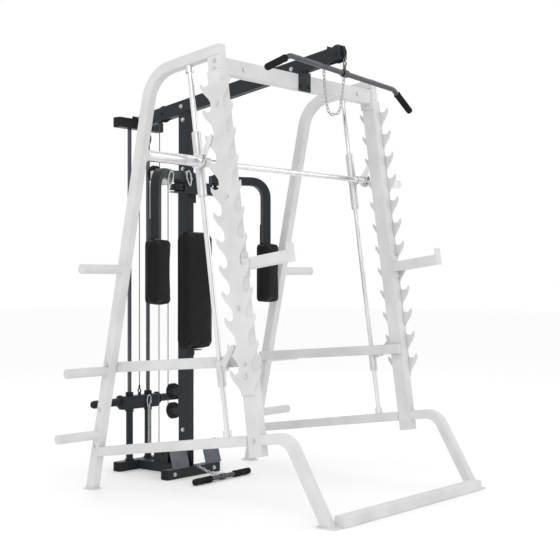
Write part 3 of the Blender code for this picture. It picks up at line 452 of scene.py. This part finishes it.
def arc(centre, start, end, steps=16):
    """Points of the cable's ride round a pulley, by angles from the rear towards the top."""
    return [centre + Vector((0, CABLE_RIDE * math.cos(a), CABLE_RIDE * math.sin(a)))
            for a in (math.radians(start + (end - start) * i / steps)
                      for i in range(steps + 1))]


# ---- Stage ----------------------------------------------------------------------------
FLOOR_SIZE = 60
LIGHT_SIZE = 3.0
LIGHTS = (("key", (-4.5, -2.5, 4.5), 50), ("fill", (3.5, -4.0, 3.0), 18),
          ("back", (2.5, 4.5, 4.0), 25))
CAMERA_SPOT = (-4.492, -3.740, 1.032)
CAMERA_LOOK = (0.7777, 0.6287, 0)
CAMERA_LENS = 74.85


# ---- Pieces ---------------------------------------------------------------------------
class GYM_OT_frame_finishes(bpy.types.Operator):
    """Give the frame its finishes, and smooth shading on its rounded places"""
    bl_idname = "gym.frame_finishes"
    bl_label = "Frame finishes"

    def execute(self, context):
        make_finishes()
        for name, node in NODES.items():
            node.data.materials.clear()
            finish = VARIETIES.get(name, SLOT_OF[name])
            node.data.materials.append(FINISHES[finish])
            self.soft_shading(node)
        return {"FINISHED"}

    def soft_shading(self, node, limit=math.radians(33)):
        """Shade across the edges that turn less than the limit; the shape stays."""
        pick(node)
        if node.data.has_custom_normals:
            bpy.ops.mesh.customdata_custom_splitnormals_clear()
        mesh = node.data
        spots = [tuple(round(c, 5) for c in v.co) for v in mesh.vertices]
        facing = {}
        for face in mesh.polygons:
            for a, b in face.edge_keys:
                facing.setdefault(frozenset((spots[a], spots[b])), []).append(face.normal)
        for edge in mesh.edges:
            near = facing.get(frozenset(spots[i] for i in edge.vertices), [])
            edge.use_edge_sharp = len(near) != 2 or near[0].angle(near[1], 0) > limit
        for face in mesh.polygons:
            face.use_smooth = True
        weld = node.modifiers.new("joined", "WELD")
        weld.merge_threshold = 0.00001
        even = node.modifiers.new("even", "WEIGHTED_NORMAL")
        even.keep_sharp = True


class GYM_OT_pads(bpy.types.Operator):
    """Upholster the back pad and the two arm pads"""
    bl_idname = "gym.pads"
    bl_label = "Pads"

    def execute(self, context):
        swell = context.scene.gym_sizes.pad_swell
        for node, body in (("back_pad", "root"), ("left_arm_pad", "left_arm"),
                           ("right_arm_pad", "right_arm")):
            self.cushion(node, body, swell)
        return {"FINISHED"}

    def cushion(self, node, body, swell):
        """A cover that is blown up on its board, then rounded out and smoothed."""
        low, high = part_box(node)
        pad = bpy.data.objects.new(node + "_cover", NODES[node].data.copy())
        bpy.context.scene.collection.objects.link(pad)
        pick(pad)
        edit_all()
        bpy.ops.mesh.remove_doubles(threshold=0.00001)
        bpy.ops.object.mode_set(mode="OBJECT")
        middle = (low + high) / 2
        size = high - low
        shrink = Vector([1 - 2 * PAD_INSET / s for s in size])
        for v in pad.data.vertices:
            v.co = middle + Vector([(v.co[i] - middle[i]) * shrink[i] for i in range(3)])
        remesh = pad.modifiers.new("even", "REMESH")
        remesh.mode = "VOXEL"
        remesh.voxel_size = PAD_GRID
        pick(pad)
        bpy.ops.object.modifier_apply(modifier="even")
        self.blow_up(pad, high.y - PAD_INSET - GRID_SLACK, swell)
        half = size / 2
        for v in pad.data.vertices:
            across = (v.co.x - middle.x) / half.x
            up = (v.co.z - middle.z) / half.z
            front = max(0.0, (middle.y - v.co.y) / half.y)
            crown = max(0.0, 1 - abs(across) ** 2.4) * max(0.0, 1 - abs(up) ** 6)
            v.co.y -= PAD_CROWN * crown * front
            v.co.y = min(v.co.y, high.y - 0.0005)
            v.co.x = max(low.x - PAD_SIDE, min(high.x + PAD_SIDE, v.co.x))
        smooth = pad.modifiers.new("finer", "SUBSURF")
        smooth.levels = smooth.render_levels = 1
        pick(pad)
        bpy.ops.object.modifier_apply(modifier="finer")
        settle(pad, node + "_cover", body, "black_vinyl", 80.0)
        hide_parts(node)
        self.piping(pad, node, body, low, high)

    def blow_up(self, pad, rear, swell):
        """Swell the cover as cloth under pressure, held at its rear and capped."""
        before = [v.co.copy() for v in pad.data.vertices]
        held = pad.vertex_groups.new(name="board")
        held.add([v.index for v in pad.data.vertices if v.co.y > rear - BOARD_DEPTH], 1.0,
                 "REPLACE")
        cloth = pad.modifiers.new("swell", "CLOTH").settings
        cloth.quality = 5
        cloth.use_pressure = True
        cloth.uniform_pressure_force = 4.0
        cloth.tension_stiffness = 20
        cloth.bending_stiffness = 1.2
        cloth.vertex_group_mass = "board"
        cloth.effector_weights.gravity = 0.0
        for step in range(1, SWELL_STEPS + 1):
            bpy.context.scene.frame_set(step)
        bpy.ops.object.modifier_apply(modifier="swell")
        bpy.context.scene.frame_set(1)
        for vertex, start in zip(pad.data.vertices, before):
            shift = vertex.co - start
            if shift.length > swell:
                vertex.co = start + shift.normalized() * swell

    def piping(self, pad, node, body, low, high):
        """The sewn cord round the pad's rear edge, laid on the cover, and a front seam."""
        pad_skin = BVHTree.FromPolygons([v.co.copy() for v in pad.data.vertices],
                                        [list(p.vertices) for p in pad.data.polygons])
        centre = (low + high) / 2
        for name, y, width in (("_rear_piping", high.y - 0.012, 0.0045),
                               ("_front_piping", low.y + 0.012, 0.0034)):
            line = []
            for i in range(PIPING_STEPS + 1):
                angle = 2 * math.pi * i / PIPING_STEPS
                out = Vector((math.cos(angle) * (high.x - low.x), 0,
                              math.sin(angle) * (high.z - low.z))).normalized()
                start = Vector((centre.x, y, centre.z)) + out * 0.5
                spot, _, _, _ = pad_skin.ray_cast(start, -out, 0.5)
                if spot is not None:
                    line.append(spot - out * width * 0.15)
            line[-1] = line[0]
            tube(line, width, node + name, body, "black_vinyl", 8)


class GYM_OT_bolts(bpy.types.Operator):
    """Add the hexagon bolts and their washers"""
    bl_idname = "gym.bolts"
    bl_label = "Bolts"

    def execute(self, context):
        rack = skin("left_rear_frame", "right_rear_frame", "left_upright", "right_upright",
                    "left_gun_rack", "right_gun_rack", "left_base_rail", "right_base_rail",
                    "left_mid_rail", "right_mid_rail", "top_crossbeam", "front_floor_bar",
                    "left_front_leg", "right_front_leg", "left_safety_arm",
                    "right_safety_arm")
        tower = skin("tower_base", "column", "lat_beam", "rod_top_bar", "yoke")
        spots = []
        for _, sign in SIDES:
            inward = Vector((-sign, 0, 0))
            far = sign * 0.75
            spots += [(side_point(far, along, -0.0375), inward)
                      for along in (-0.8808, -0.544, -0.60, 0.62, 0.20, -0.30)]
            spots += [(Vector((far, y, z)), inward)
                      for y, z in ((0.468, 0.622), (0.520, 0.40), (0.560, 0.215),
                                   (-0.235, 1.975), (-0.235, 2.015))]
            spots.append((Vector((sign * 0.45, -0.36, 1.995)), Y))
        tower_spots = [(Vector((x, 1.05, z)), -Y) for x in (-0.13, 0.13)
                       for z in (0.025, 1.884)]
        tower_spots += [(Vector((x, 0.30, 0.025)), Y) for x in (-0.15, 0.15)]
        tower_spots += [(Vector((sign * 0.2, 0.532, z)), Vector((-sign, 0, 0)))
                        for _, sign in SIDES for z in (0.24, 1.62, 1.88)]
        tower_spots += [(Vector((sign * 0.2, y, z)), Vector((-sign, 0, 0)))
                        for _, sign in SIDES
                        for y, z in ((0.545, 1.952), (-0.20, 2.063), (0.84, 1.9))]
        self.fasten(rack, spots, "rack", "pale_zinc", context)
        self.fasten(tower, tower_spots, "tower", "zinc", context)
        return {"FINISHED"}

    def fasten(self, surface, spots, name, finish, context):
        """Put a bolt and a washer wherever a spot meets a face squarely."""
        across = context.scene.gym_sizes.bolt_across
        places = []
        for point, direction in spots:
            found = landing(surface, point, direction, FITTING_REACH)
            if found and abs(found[1].dot(direction)) > 0.95:
                places.append(standing(found[0], -direction, len(places) * 0.7))
        radius = across / math.sqrt(3)
        head = turned([(0.0018, radius * 0.96), (0.0023, radius), (0.0068, radius),
                       (0.0082, radius * 0.86), (0.0082, radius * 0.60),
                       (0.0078, radius * 0.56)], 6)
        copies(head, places, name + "_bolt_heads", "root", finish, 20.0)
        washer = turned([(0.0, 0.0105), (0.0, 0.0115), (0.0014, 0.0115), (0.0019, 0.0110)], 28)
        copies(washer, places, name + "_washers", "root", finish)


class GYM_OT_end_caps(bpy.types.Operator):
    """Add the plastic caps in the ends of the tubes and pegs"""
    bl_idname = "gym.end_caps"
    bl_label = "End caps"

    def execute(self, context):
        depth = context.scene.gym_sizes.cap_depth
        self.round_caps(depth)
        self.square_caps(depth)
        return {"FINISHED"}

    def round_caps(self, depth):
        """The caps of the plate pegs and the rings in the ends of the guided bar."""
        pegs = skin("left_rear_frame", "right_rear_frame")
        places = []
        for _, sign in SIDES:
            for z in PEG_HEIGHTS:
                y = 0.5985 - z * math.tan(LEG_SPREAD)
                found = landing(pegs, (sign * 0.99, y, z), (-sign, 0, 0))
                if found:
                    places.append(standing(found[0], (sign, 0, 0)))
        cap = turned([(-0.001, 0.0215), (0.0, 0.0232), (depth * 0.5, 0.0232),
                      (depth, 0.0205), (depth, 0.014), (depth * 0.7, 0.0125)], 32)
        copies(cap, places, "peg_caps", "root", "pale_powder_coat")
        bar = skin("smith_bar")
        places = []
        for _, sign in SIDES:
            found = landing(bar, (sign * 1.1, -0.1639, 1.5649), (-sign, 0, 0))
            if found:
                places.append(standing(found[0], (sign, 0, 0)))
        ring = turned([(-0.001, 0.0235), (0.0, 0.0245), (0.0015, 0.0240), (0.0015, 0.0150),
                       (0.0006, 0.0140), (0.0006, 0.0060), (0.0022, 0.0050)], 32)
        copies(ring, places, "bar_end_caps", "smith_bar", "pale_zinc")

    def square_caps(self, depth):
        """Each cap is a cube sized to the tube's end, bevelled and set a little proud of it."""
        surface = skin("tower_base", "rod_top_bar", "lat_beam")
        ends = []
        for _, sign in SIDES:
            ends += [((sign * 0.4, 0.495, 0.025), (-sign, 0, 0), (0.046, 0.046)),
                     ((sign * 0.4, 0.890, 0.025), (-sign, 0, 0), (0.046, 0.046)),
                     ((sign * 0.4, 0.890, 1.884), (-sign, 0, 0), (0.046, 0.050))]
        ends += [((0, -0.75, 2.118), (0, 1, 0), (0.046, 0.062)),
                 ((0, 1.1, 1.900), (0, -1, 0), (0.046, 0.066))]
        caps = []
        for point, direction, (wide, tall) in ends:
            found = landing(surface, point, direction, FITTING_REACH)
            if not found:
                continue
            facing = found[1] if found[1].dot(Vector(direction)) < 0 else -found[1]
            up = Z - facing * Z.dot(facing)
            across = up.normalized().cross(facing)
            turn = Matrix((across, up.normalized(), facing)).transposed().to_4x4()
            pick()
            bpy.ops.mesh.primitive_cube_add(size=1)
            cap = bpy.context.object
            cap.scale = (wide, tall, depth)
            bpy.ops.object.transform_apply(location=True, rotation=True, scale=True)
            edit_all()
            bpy.ops.mesh.bevel(offset=0.0015, segments=2, affect="EDGES")
            bpy.ops.object.mode_set(mode="OBJECT")
            cap.data.transform(Matrix.Translation(found[0] + facing * depth * 0.35) @ turn)
            caps.append(cap)
        settle(joined(caps), "tube_caps", "root", "black_plastic", 30.0)


class GYM_OT_carriage_fittings(bpy.types.Operator):
    """Sleeve the carriage's pedestals, and add its bushes and the plates' stop collars"""
    bl_idname = "gym.carriage_fittings"
    bl_label = "Carriage fittings"

    def execute(self, context):
        low, high = CARRIAGE_Z
        post = turned([(0.0505, 0.0180), (0.0505, 0.0245), (0.0580, 0.0245), (0.0600, 0.0190),
                       (low - 0.016, 0.0190), (low - 0.014, 0.0232), (low - 0.0030, 0.0232),
                       (low - 0.0022, 0.0222), (low - 0.0022, 0.0215)], 36)
        feet = [Matrix.Translation((sign * ROD_X, CARRIAGE_Y, 0)) for _, sign in SIDES]
        copies(post, feet, "pedestal_sleeves", "root", "charcoal_coat")
        bush = turned([(high + 0.0005, 0.0135), (high + 0.0005, 0.0205), (high + 0.004, 0.0215),
                       (high + 0.018, 0.0215), (high + 0.0215, 0.0190),
                       (high + 0.0215, 0.0135)], 36)
        copies(bush, feet, "carriage_bushes", "weight_carriage", "black_plastic")
        middle = (low + high) / 2 + 0.008
        collar = turned([(-0.004, 0.0240), (-0.004, 0.0345), (-0.0025, 0.0360),
                         (0.0035, 0.0360), (0.0050, 0.0345), (0.0050, 0.0240)], 40)
        sides = [standing((sign * 0.139, CARRIAGE_Y, middle), (sign, 0, 0))
                 for _, sign in SIDES]
        copies(collar, sides, "carriage_collars", "weight_carriage", "charcoal_coat")
        end = turned([(0, 0.0150), (0.0005, 0.0175), (0.0030, 0.0175), (0.0042, 0.0160),
                      (0.0042, 0.0060)], 28)
        ends = [standing((sign * 0.3355, CARRIAGE_Y, middle), (sign, 0, 0))
                for _, sign in SIDES]
        copies(end, ends, "carriage_peg_caps", "weight_carriage", "black_plastic")
        return {"FINISHED"}


class GYM_OT_pulleys(bpy.types.Operator):
    """Make the pulleys: grooved nylon wheels with lightening holes and steel bearings"""
    bl_idname = "gym.pulleys"
    bl_label = "Pulleys"

    def execute(self, context):
        wheels = {"beam_rear_pulley": REAR_PULLEY, "floating_pulley": FLOAT_PULLEY,
                  "beam_mid_pulley": MID_PULLEY, "beam_front_pulley": FRONT_PULLEY,
                  "base_pulley": BASE_PULLEY, "low_pulley": LOW_PULLEY,
                  "column_pulley_upper": COLUMN_UPPER, "column_pulley_lower": COLUMN_LOWER}
        wheel = self.wheel()
        hub = turned([(-0.0118, 0.0060), (-0.0118, 0.0110), (-0.0112, 0.0115),
                      (0.0112, 0.0115), (0.0118, 0.0110), (0.0118, 0.0060)], 28)
        for name, centre in wheels.items():
            place = Matrix.Translation(centre) @ Matrix.Rotation(math.pi / 2, 4, "Y")
            for pattern, part, finish in ((wheel, "_wheel", "black_plastic"),
                                          (hub, "_bearing", "zinc")):
                twin = twin_of(pattern, place)
                settle(twin, name + part, name, finish, 35.0)
                if part == "_wheel":
                    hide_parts(name)
        bpy.data.objects.remove(wheel, do_unlink=True)
        bpy.data.objects.remove(hub, do_unlink=True)
        return {"FINISHED"}

    def wheel(self):
        """A grooved wheel, drilled through its web."""
        half = 0.0115
        made = turned([(-half + 0.003, 0.0100), (-half + 0.003, 0.0280),
                       (-half, 0.0300), (-half, 0.0425), (-half + 0.0012, 0.0440),
                       (-half + 0.0026, 0.0432), (-half + 0.0065, 0.0372),
                       (-0.0030, 0.0356), (0.0030, 0.0356), (half - 0.0065, 0.0372),
                       (half - 0.0026, 0.0432), (half - 0.0012, 0.0440), (half, 0.0425),
                       (half, 0.0300), (half - 0.003, 0.0280), (half - 0.003, 0.0100)], 56)
        for i in range(WHEEL_HOLES):
            angle = math.radians(360 / WHEEL_HOLES * i)
            drill = turned([(-0.03, 0.0052), (0.03, 0.0052)], 16)
            drill.data.transform(Matrix.Translation((0.0200 * math.cos(angle),
                                                     0.0200 * math.sin(angle), 0)))
            hole = made.modifiers.new("hole", "BOOLEAN")
            hole.object = drill
            hole.operation = "DIFFERENCE"
            hole.solver = "EXACT"
            pick(made)
            bpy.ops.object.modifier_apply(modifier="hole")
            bpy.data.objects.remove(drill, do_unlink=True)
        return made


class GYM_OT_cables(bpy.types.Operator):
    """Lay the steel cables round the pulleys, with straight strands to what they pull"""
    bl_idname = "gym.cables"
    bl_label = "Cables"

    def execute(self, context):
        width = context.scene.gym_sizes.cable_width
        loop = arc(REAR_PULLEY, 0, 180) + arc(FLOAT_PULLEY, 0, -180)
        loop += arc(MID_PULLEY, 0, 90 - BEAM_SLANT) + arc(FRONT_PULLEY, 90 - BEAM_SLANT, 180)
        top = tube(loop, width, "upper_cable", "root")
        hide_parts("lat_cable")
        self.strand(loop[0], Vector((0, STRAND_Y, CARRIAGE_EYE_Z)), width,
                    "carriage_strand", "weight_carriage", 40)
        self.strand(loop[-1], Vector((0, LAT_DROP_Y, LAT_EYE_Z)), width, "lat_strand",
                    "lat_bar", 12)
        low = [Vector((0, BASE_PULLEY.y + CABLE_RIDE, PIN_Z))] + arc(BASE_PULLEY, 0, -90)
        low += [Vector((0, LOW_PULLEY.y, LOW_CABLE_Z))]
        bottom = tube(low, width, "lower_cable", "root")
        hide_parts("low_cable")
        self.strand(low[-1], Vector((0, LOW_EYE_Y, LOW_CABLE_Z)), width, "low_strand",
                    "low_handle", 12)
        self.ferrules()
        return {"FINISHED"}

    def strand(self, start, end, width, name, body, steps):
        """A straight run that stretches between the frame and what it pulls."""
        points = [start.lerp(end, i / steps) for i in range(steps + 1)]
        made = tube(points, width, name, "root")
        made.parent = None
        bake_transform(made)

    def ferrules(self):
        """Pressed sleeves on the cables' ends."""
        sleeve = [(0, 0.0036), (0.001, 0.0046), (0.021, 0.0046), (0.022, 0.0036)]
        tall = PIN_Z - 0.028
        places = [standing((0, BASE_PULLEY.y + CABLE_RIDE, tall), Z),
                  standing((0, COLUMN_LOWER.y + CABLE_RIDE, tall), Z)]
        copies(turned(sleeve, 20), places, "block_ferrules", "root", "zinc")


class GYM_OT_chains(bpy.types.Operator):
    """Hang the spare chain and lay the low handle's chain, link by link"""
    bl_idname = "gym.chains"
    bl_label = "Chains"

    def execute(self, context):
        wire = context.scene.gym_sizes.link_wire
        low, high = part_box("spare_chain")
        x = (low.x + high.x) / 2
        first, last = high.y - 0.006, low.y + 0.006
        top, depth = high.z - 0.004, (high.z - low.z) - 0.010
        path = [Vector((x, first + (last - first) * t, top - depth * (1 - (2 * t - 1) ** 4)))
                for t in (i / 200 for i in range(201))]
        spare = self.chain(path, wire, "spare_chain_links", "root")
        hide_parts("spare_chain")
        drop = [CARRIAGE_CHAIN + Vector((0.002, 0, -0.030 - 0.225 * i / 60)) for i in range(61)]
        self.chain(drop, wire, "carriage_chain_links", "weight_carriage")
        z = LOW_MIDDLE.z
        path = [Vector((0, 0.3090, z)), Vector((0, 0.340, z + 0.002)),
                Vector((0, 0.400, z + 0.022)), Vector((0, LOW_EYE_Y, LOW_CABLE_Z))]
        low_path = []
        for a, b in zip(path, path[1:]):
            low_path += [a.lerp(b, i / 20) for i in range(20)]
        low_path.append(path[-1])
        pulled = self.chain(low_path, wire, "low_chain_links", "low_handle")
        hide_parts("low_chain")
        return {"FINISHED"}

    def link(self, wire):
        """One link: a ring whose halves are pulled apart along Z."""
        pick()
        bpy.ops.mesh.primitive_torus_add(major_radius=LINK_RADIUS, minor_radius=wire / 2,
                                         major_segments=20, minor_segments=8,
                                         rotation=(math.pi / 2, 0, 0))
        made = bpy.context.object
        bpy.ops.object.transform_apply(location=True, rotation=True, scale=True)
        for v in made.data.vertices:
            if abs(v.co.z) > 0.00001:
                v.co.z += math.copysign(LINK_STRETCH, v.co.z)
        return made

    def chain(self, path, wire, name, body):
        """Links along a path, each turned a quarter against the last."""
        places, walked, next_at = [], 0.0, LINK_PITCH * 0.5
        for a, b in zip(path, path[1:]):
            length = (b - a).length
            while next_at <= walked + length and length:
                spot = a.lerp(b, (next_at - walked) / length)
                places.append(standing(spot, b - a, len(places) % 2 * math.pi / 2))
                next_at += LINK_PITCH
            walked += length
        return copies(self.link(wire), places, name, body, "zinc", 60.0)


class GYM_OT_snap_hooks(bpy.types.Operator):
    """Add the snap hooks on the lat bar, the low handle and the yoke"""
    bl_idname = "gym.snap_hooks"
    bl_label = "Snap hooks"

    def execute(self, context):
        hung = Vector((-0.083, 0.4310, YOKE_Z + 0.048))
        spots = {"lat_snap_hook": ("lat_bar", 0.62, standing(
                     Vector((0, LAT_DROP_Y, LAT_BAR_Z + 0.0600)), Z, math.pi / 2)),
                 "low_snap_hook": ("low_handle", 0.95, standing(
                     LOW_MIDDLE + Vector((0, 0.048, 0.010)), Vector((0, 1, 0.25)))),
                 "yoke_snap_hook": ("root", 1.5, Matrix.Translation(hung)
                                    @ Matrix.Rotation(-0.2, 4, "Y")),
                 "arm_snap_hook": ("left_arm", 1.5, Matrix.Translation(
                     (-0.290, 0.3630, YOKE_Z + 0.030)) @ Matrix.Rotation(0.25, 4, "Y")),
                 "carriage_snap_hook": ("weight_carriage", 1.3, Matrix.Translation(
                     CARRIAGE_CHAIN) @ Matrix.Rotation(0.12, 4, "Y"))}
        for name, (body, size, place) in spots.items():
            hook = self.hook(size)
            hook.data.transform(place)
            settle(hook, name, body, "zinc", 60.0)
        top = hung + Vector((0.004, 0, 0.030))
        tube([top, top + Vector((0.010, 0.012, 0.016)), Vector((-0.052, 0.4920, 1.600)),
              Vector((-0.040, 0.4955, 1.585))], HOOK_WIRE, "yoke_hook_wire", "root", "zinc")
        arm = Vector((-0.290, 0.3959, 1.5675))
        out = Vector((0.273, 0.125, 0)).normalized()
        side = out.cross(Z)
        loop = [arm + side * a * 0.0262 + Z * b * 0.0262 for a, b in
                ((-1, -1), (-1, 1), (1, 1), (1, -1), (-1, -1))]
        tube(loop, HOOK_WIRE, "arm_hook_wire", "left_arm", "zinc")
        return {"FINISHED"}

    def hook(self, size):
        """A pear-shaped ring of round wire with its sprung gate."""
        ring = [Vector((math.cos(a) * (0.010 + 0.0035 * math.sin(a)), 0,
                        math.sin(a) * 0.0250)) * size
                for a in (2 * math.pi * i / 40 for i in range(41))]
        body = tube(ring, 0.0052 * size, "ring", None, sides=12)
        gate = turned([(-0.013 * size, 0.0026 * size), (-0.012 * size, 0.0040 * size),
                       (-0.002 * size, 0.0040 * size), (-0.001 * size, 0.0026 * size)], 16)
        gate.data.transform(Matrix.Translation((0.0105 * size, 0, 0.004 * size)))
        pick(body)
        gate.select_set(True)
        bpy.ops.object.join()
        return body


class GYM_OT_grips(bpy.types.Operator):
    """Pull the ribbed rubber grips on the lat bar and the low handle"""
    bl_idname = "gym.grips"
    bl_label = "Grips"

    def execute(self, context):
        def tilted(x, z):
            """A point of the lat bar, which hangs a little askew."""
            return Vector((x * math.cos(LAT_TILT) + z * math.sin(LAT_TILT), LAT_DROP_Y,
                           LAT_BAR_Z - x * math.sin(LAT_TILT) + z * math.cos(LAT_TILT)))
        droop = math.radians(28.0)
        reach, drop = 0.178 * math.cos(droop), 0.178 * math.sin(droop)
        for side, sign in SIDES:
            self.grip(side + "_lat_grip", "lat_bar", tilted(sign * 0.418, 0),
                      tilted(sign * (0.418 + reach), -drop), LAT_GRIP_LENGTH)
        yaw = math.radians(3.4)
        along = Vector((math.cos(yaw), math.sin(yaw), 0))
        for side, sign in SIDES:
            self.grip(side + "_low_grip", "low_handle", LOW_MIDDLE,
                      LOW_MIDDLE + along * 0.226 * sign, LOW_GRIP_LENGTH)
        return {"FINISHED"}

    def grip(self, node, body, inner, outer, length):
        """A sleeve with a flange, rows of fine ribs and a domed end."""
        profile = [(0, 0.0134), (0, 0.0168), (0.0015, 0.0176), (0.0050, 0.0176),
                   (0.0065, 0.0160)]
        for i in range(GRIP_RIBS):
            start = 0.010 + (length - 0.022) * i / GRIP_RIBS
            step = (length - 0.022) / GRIP_RIBS
            profile += [(start, 0.0154), (start + step * 0.25, 0.0164),
                        (start + step * 0.65, 0.0164), (start + step * 0.9, 0.0154)]
        profile += [(length - 0.010, 0.0160), (length - 0.002, 0.0160), (length, 0.0150),
                    (length + 0.0012, 0.0110), (length + 0.0014, 0.0040)]
        made = turned(profile, 28)
        out = (outer - inner).normalized()
        made.data.transform(standing(outer - out * length, out))
        settle(made, node + "_sleeve", body, "black_rubber", 50.0)
        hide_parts(node)


class GYM_OT_foot_treads(bpy.types.Operator):
    """Raise the studs on the two foot treads"""
    bl_idname = "gym.foot_treads"
    bl_label = "Foot treads"

    def execute(self, context):
        for side, _ in SIDES:
            name = side + "_foot_tread"
            surface = skin(name)
            low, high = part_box(name)
            places = []
            for row in range(STUD_ROWS):
                for column in range(STUD_ROWS):
                    x = low.x + 0.012 + (high.x - low.x - 0.024) * column / (STUD_ROWS - 1)
                    z = low.z + 0.014 + (high.z - low.z - 0.028) * row / (STUD_ROWS - 1)
                    found = landing(surface, (x, low.y - 0.1, z), (0, 1, 0))
                    if found:
                        normal = found[1] if found[1].y < 0 else -found[1]
                        spin = math.radians(45 if (row + column) % 2 else -45)
                        places.append(standing(found[0], normal, spin))
            pick()
            bpy.ops.mesh.primitive_cylinder_add(vertices=10, radius=0.0052, depth=0.0018)
            stud = bpy.context.object
            stud.scale = (1, 0.36, 1)
            bpy.ops.object.transform_apply(location=True, rotation=True, scale=True)
            edit_all()
            bpy.ops.mesh.bevel(offset=0.0005, segments=1, affect="EDGES")
            bpy.ops.object.mode_set(mode="OBJECT")
            copies(stud, places, name + "_studs", "root", "dull_zinc", 25.0)
        return {"FINISHED"}


class GYM_OT_stage(bpy.types.Operator):
    """Add the pale floor, the studio lights and the camera"""
    bl_idname = "gym.stage"
    bl_label = "Stage"

    def execute(self, context):
        pick()
        bpy.ops.mesh.primitive_plane_add(size=FLOOR_SIZE)
        floor = bpy.context.object
        floor.name = "studio_floor"
        made, tree, shader, place = new_finish("studio_floor", (0.97, 0.97, 0.97), 0.75)
        tree.links.new(spread(tree, noise(tree, place, 0.6), 0.62, 0.78),
                       shader.inputs["Roughness"])
        floor.data.materials.append(made)
        world = bpy.data.worlds.new("studio")
        context.scene.world = world
        world.use_nodes = True
        sky = world.node_tree.nodes["Background"]
        sky.inputs["Color"].default_value = (1, 1, 1, 1)
        sky.inputs["Strength"].default_value = 1.0
        for name, spot, power in LIGHTS:
            bpy.ops.object.light_add(type="AREA", location=spot)
            light = bpy.context.object
            light.name = name
            light.data.size = LIGHT_SIZE
            light.data.energy = power
            aim = Vector((0, 0, 1.0)) - Vector(spot)
            light.rotation_euler = aim.to_track_quat("-Z", "Y").to_euler()
        bpy.ops.object.camera_add(location=CAMERA_SPOT)
        camera = bpy.context.object
        camera.name = "studio_camera"
        camera.data.lens = CAMERA_LENS
        camera.data.sensor_width = 36.0
        camera.rotation_euler = Vector(CAMERA_LOOK).to_track_quat("-Z", "Y").to_euler()
        context.scene.camera = camera
        context.scene.view_settings.view_transform = "Standard"
        return {"FINISHED"}


class GYM_PT_panel(bpy.types.Panel):
    """The home gym's pieces"""
    bl_label = "Home gym"
    bl_idname = "GYM_PT_panel"
    bl_space_type = "VIEW_3D"
    bl_region_type = "UI"
    bl_category = "Home gym"

    def draw(self, context):
        for group in (context.scene.gym_sizes, context.scene.gym_colours):
            for name in group.__annotations__:
                self.layout.prop(group, name)
        for step in STEPS:
            self.layout.operator(step.bl_idname)


STEPS = (GYM_OT_frame_finishes, GYM_OT_pads, GYM_OT_bolts, GYM_OT_end_caps,
         GYM_OT_carriage_fittings, GYM_OT_pulleys, GYM_OT_cables, GYM_OT_chains,
         GYM_OT_snap_hooks, GYM_OT_grips, GYM_OT_foot_treads, GYM_OT_stage)
CLASSES = (GymSizes, GymColours, *STEPS, GYM_PT_panel)


def register():
    for item in CLASSES:
        bpy.utils.register_class(item)
    bpy.types.Scene.gym_sizes = bpy.props.PointerProperty(type=GymSizes)
    bpy.types.Scene.gym_colours = bpy.props.PointerProperty(type=GymColours)


def unregister():
    del bpy.types.Scene.gym_sizes
    del bpy.types.Scene.gym_colours
    for item in reversed(CLASSES):
        bpy.utils.unregister_class(item)


def main():
    register()
    for step in STEPS:
        group, name = step.bl_idname.split(".")
        getattr(getattr(bpy.ops, group), name)()


if __name__ == "__main__":
    main()
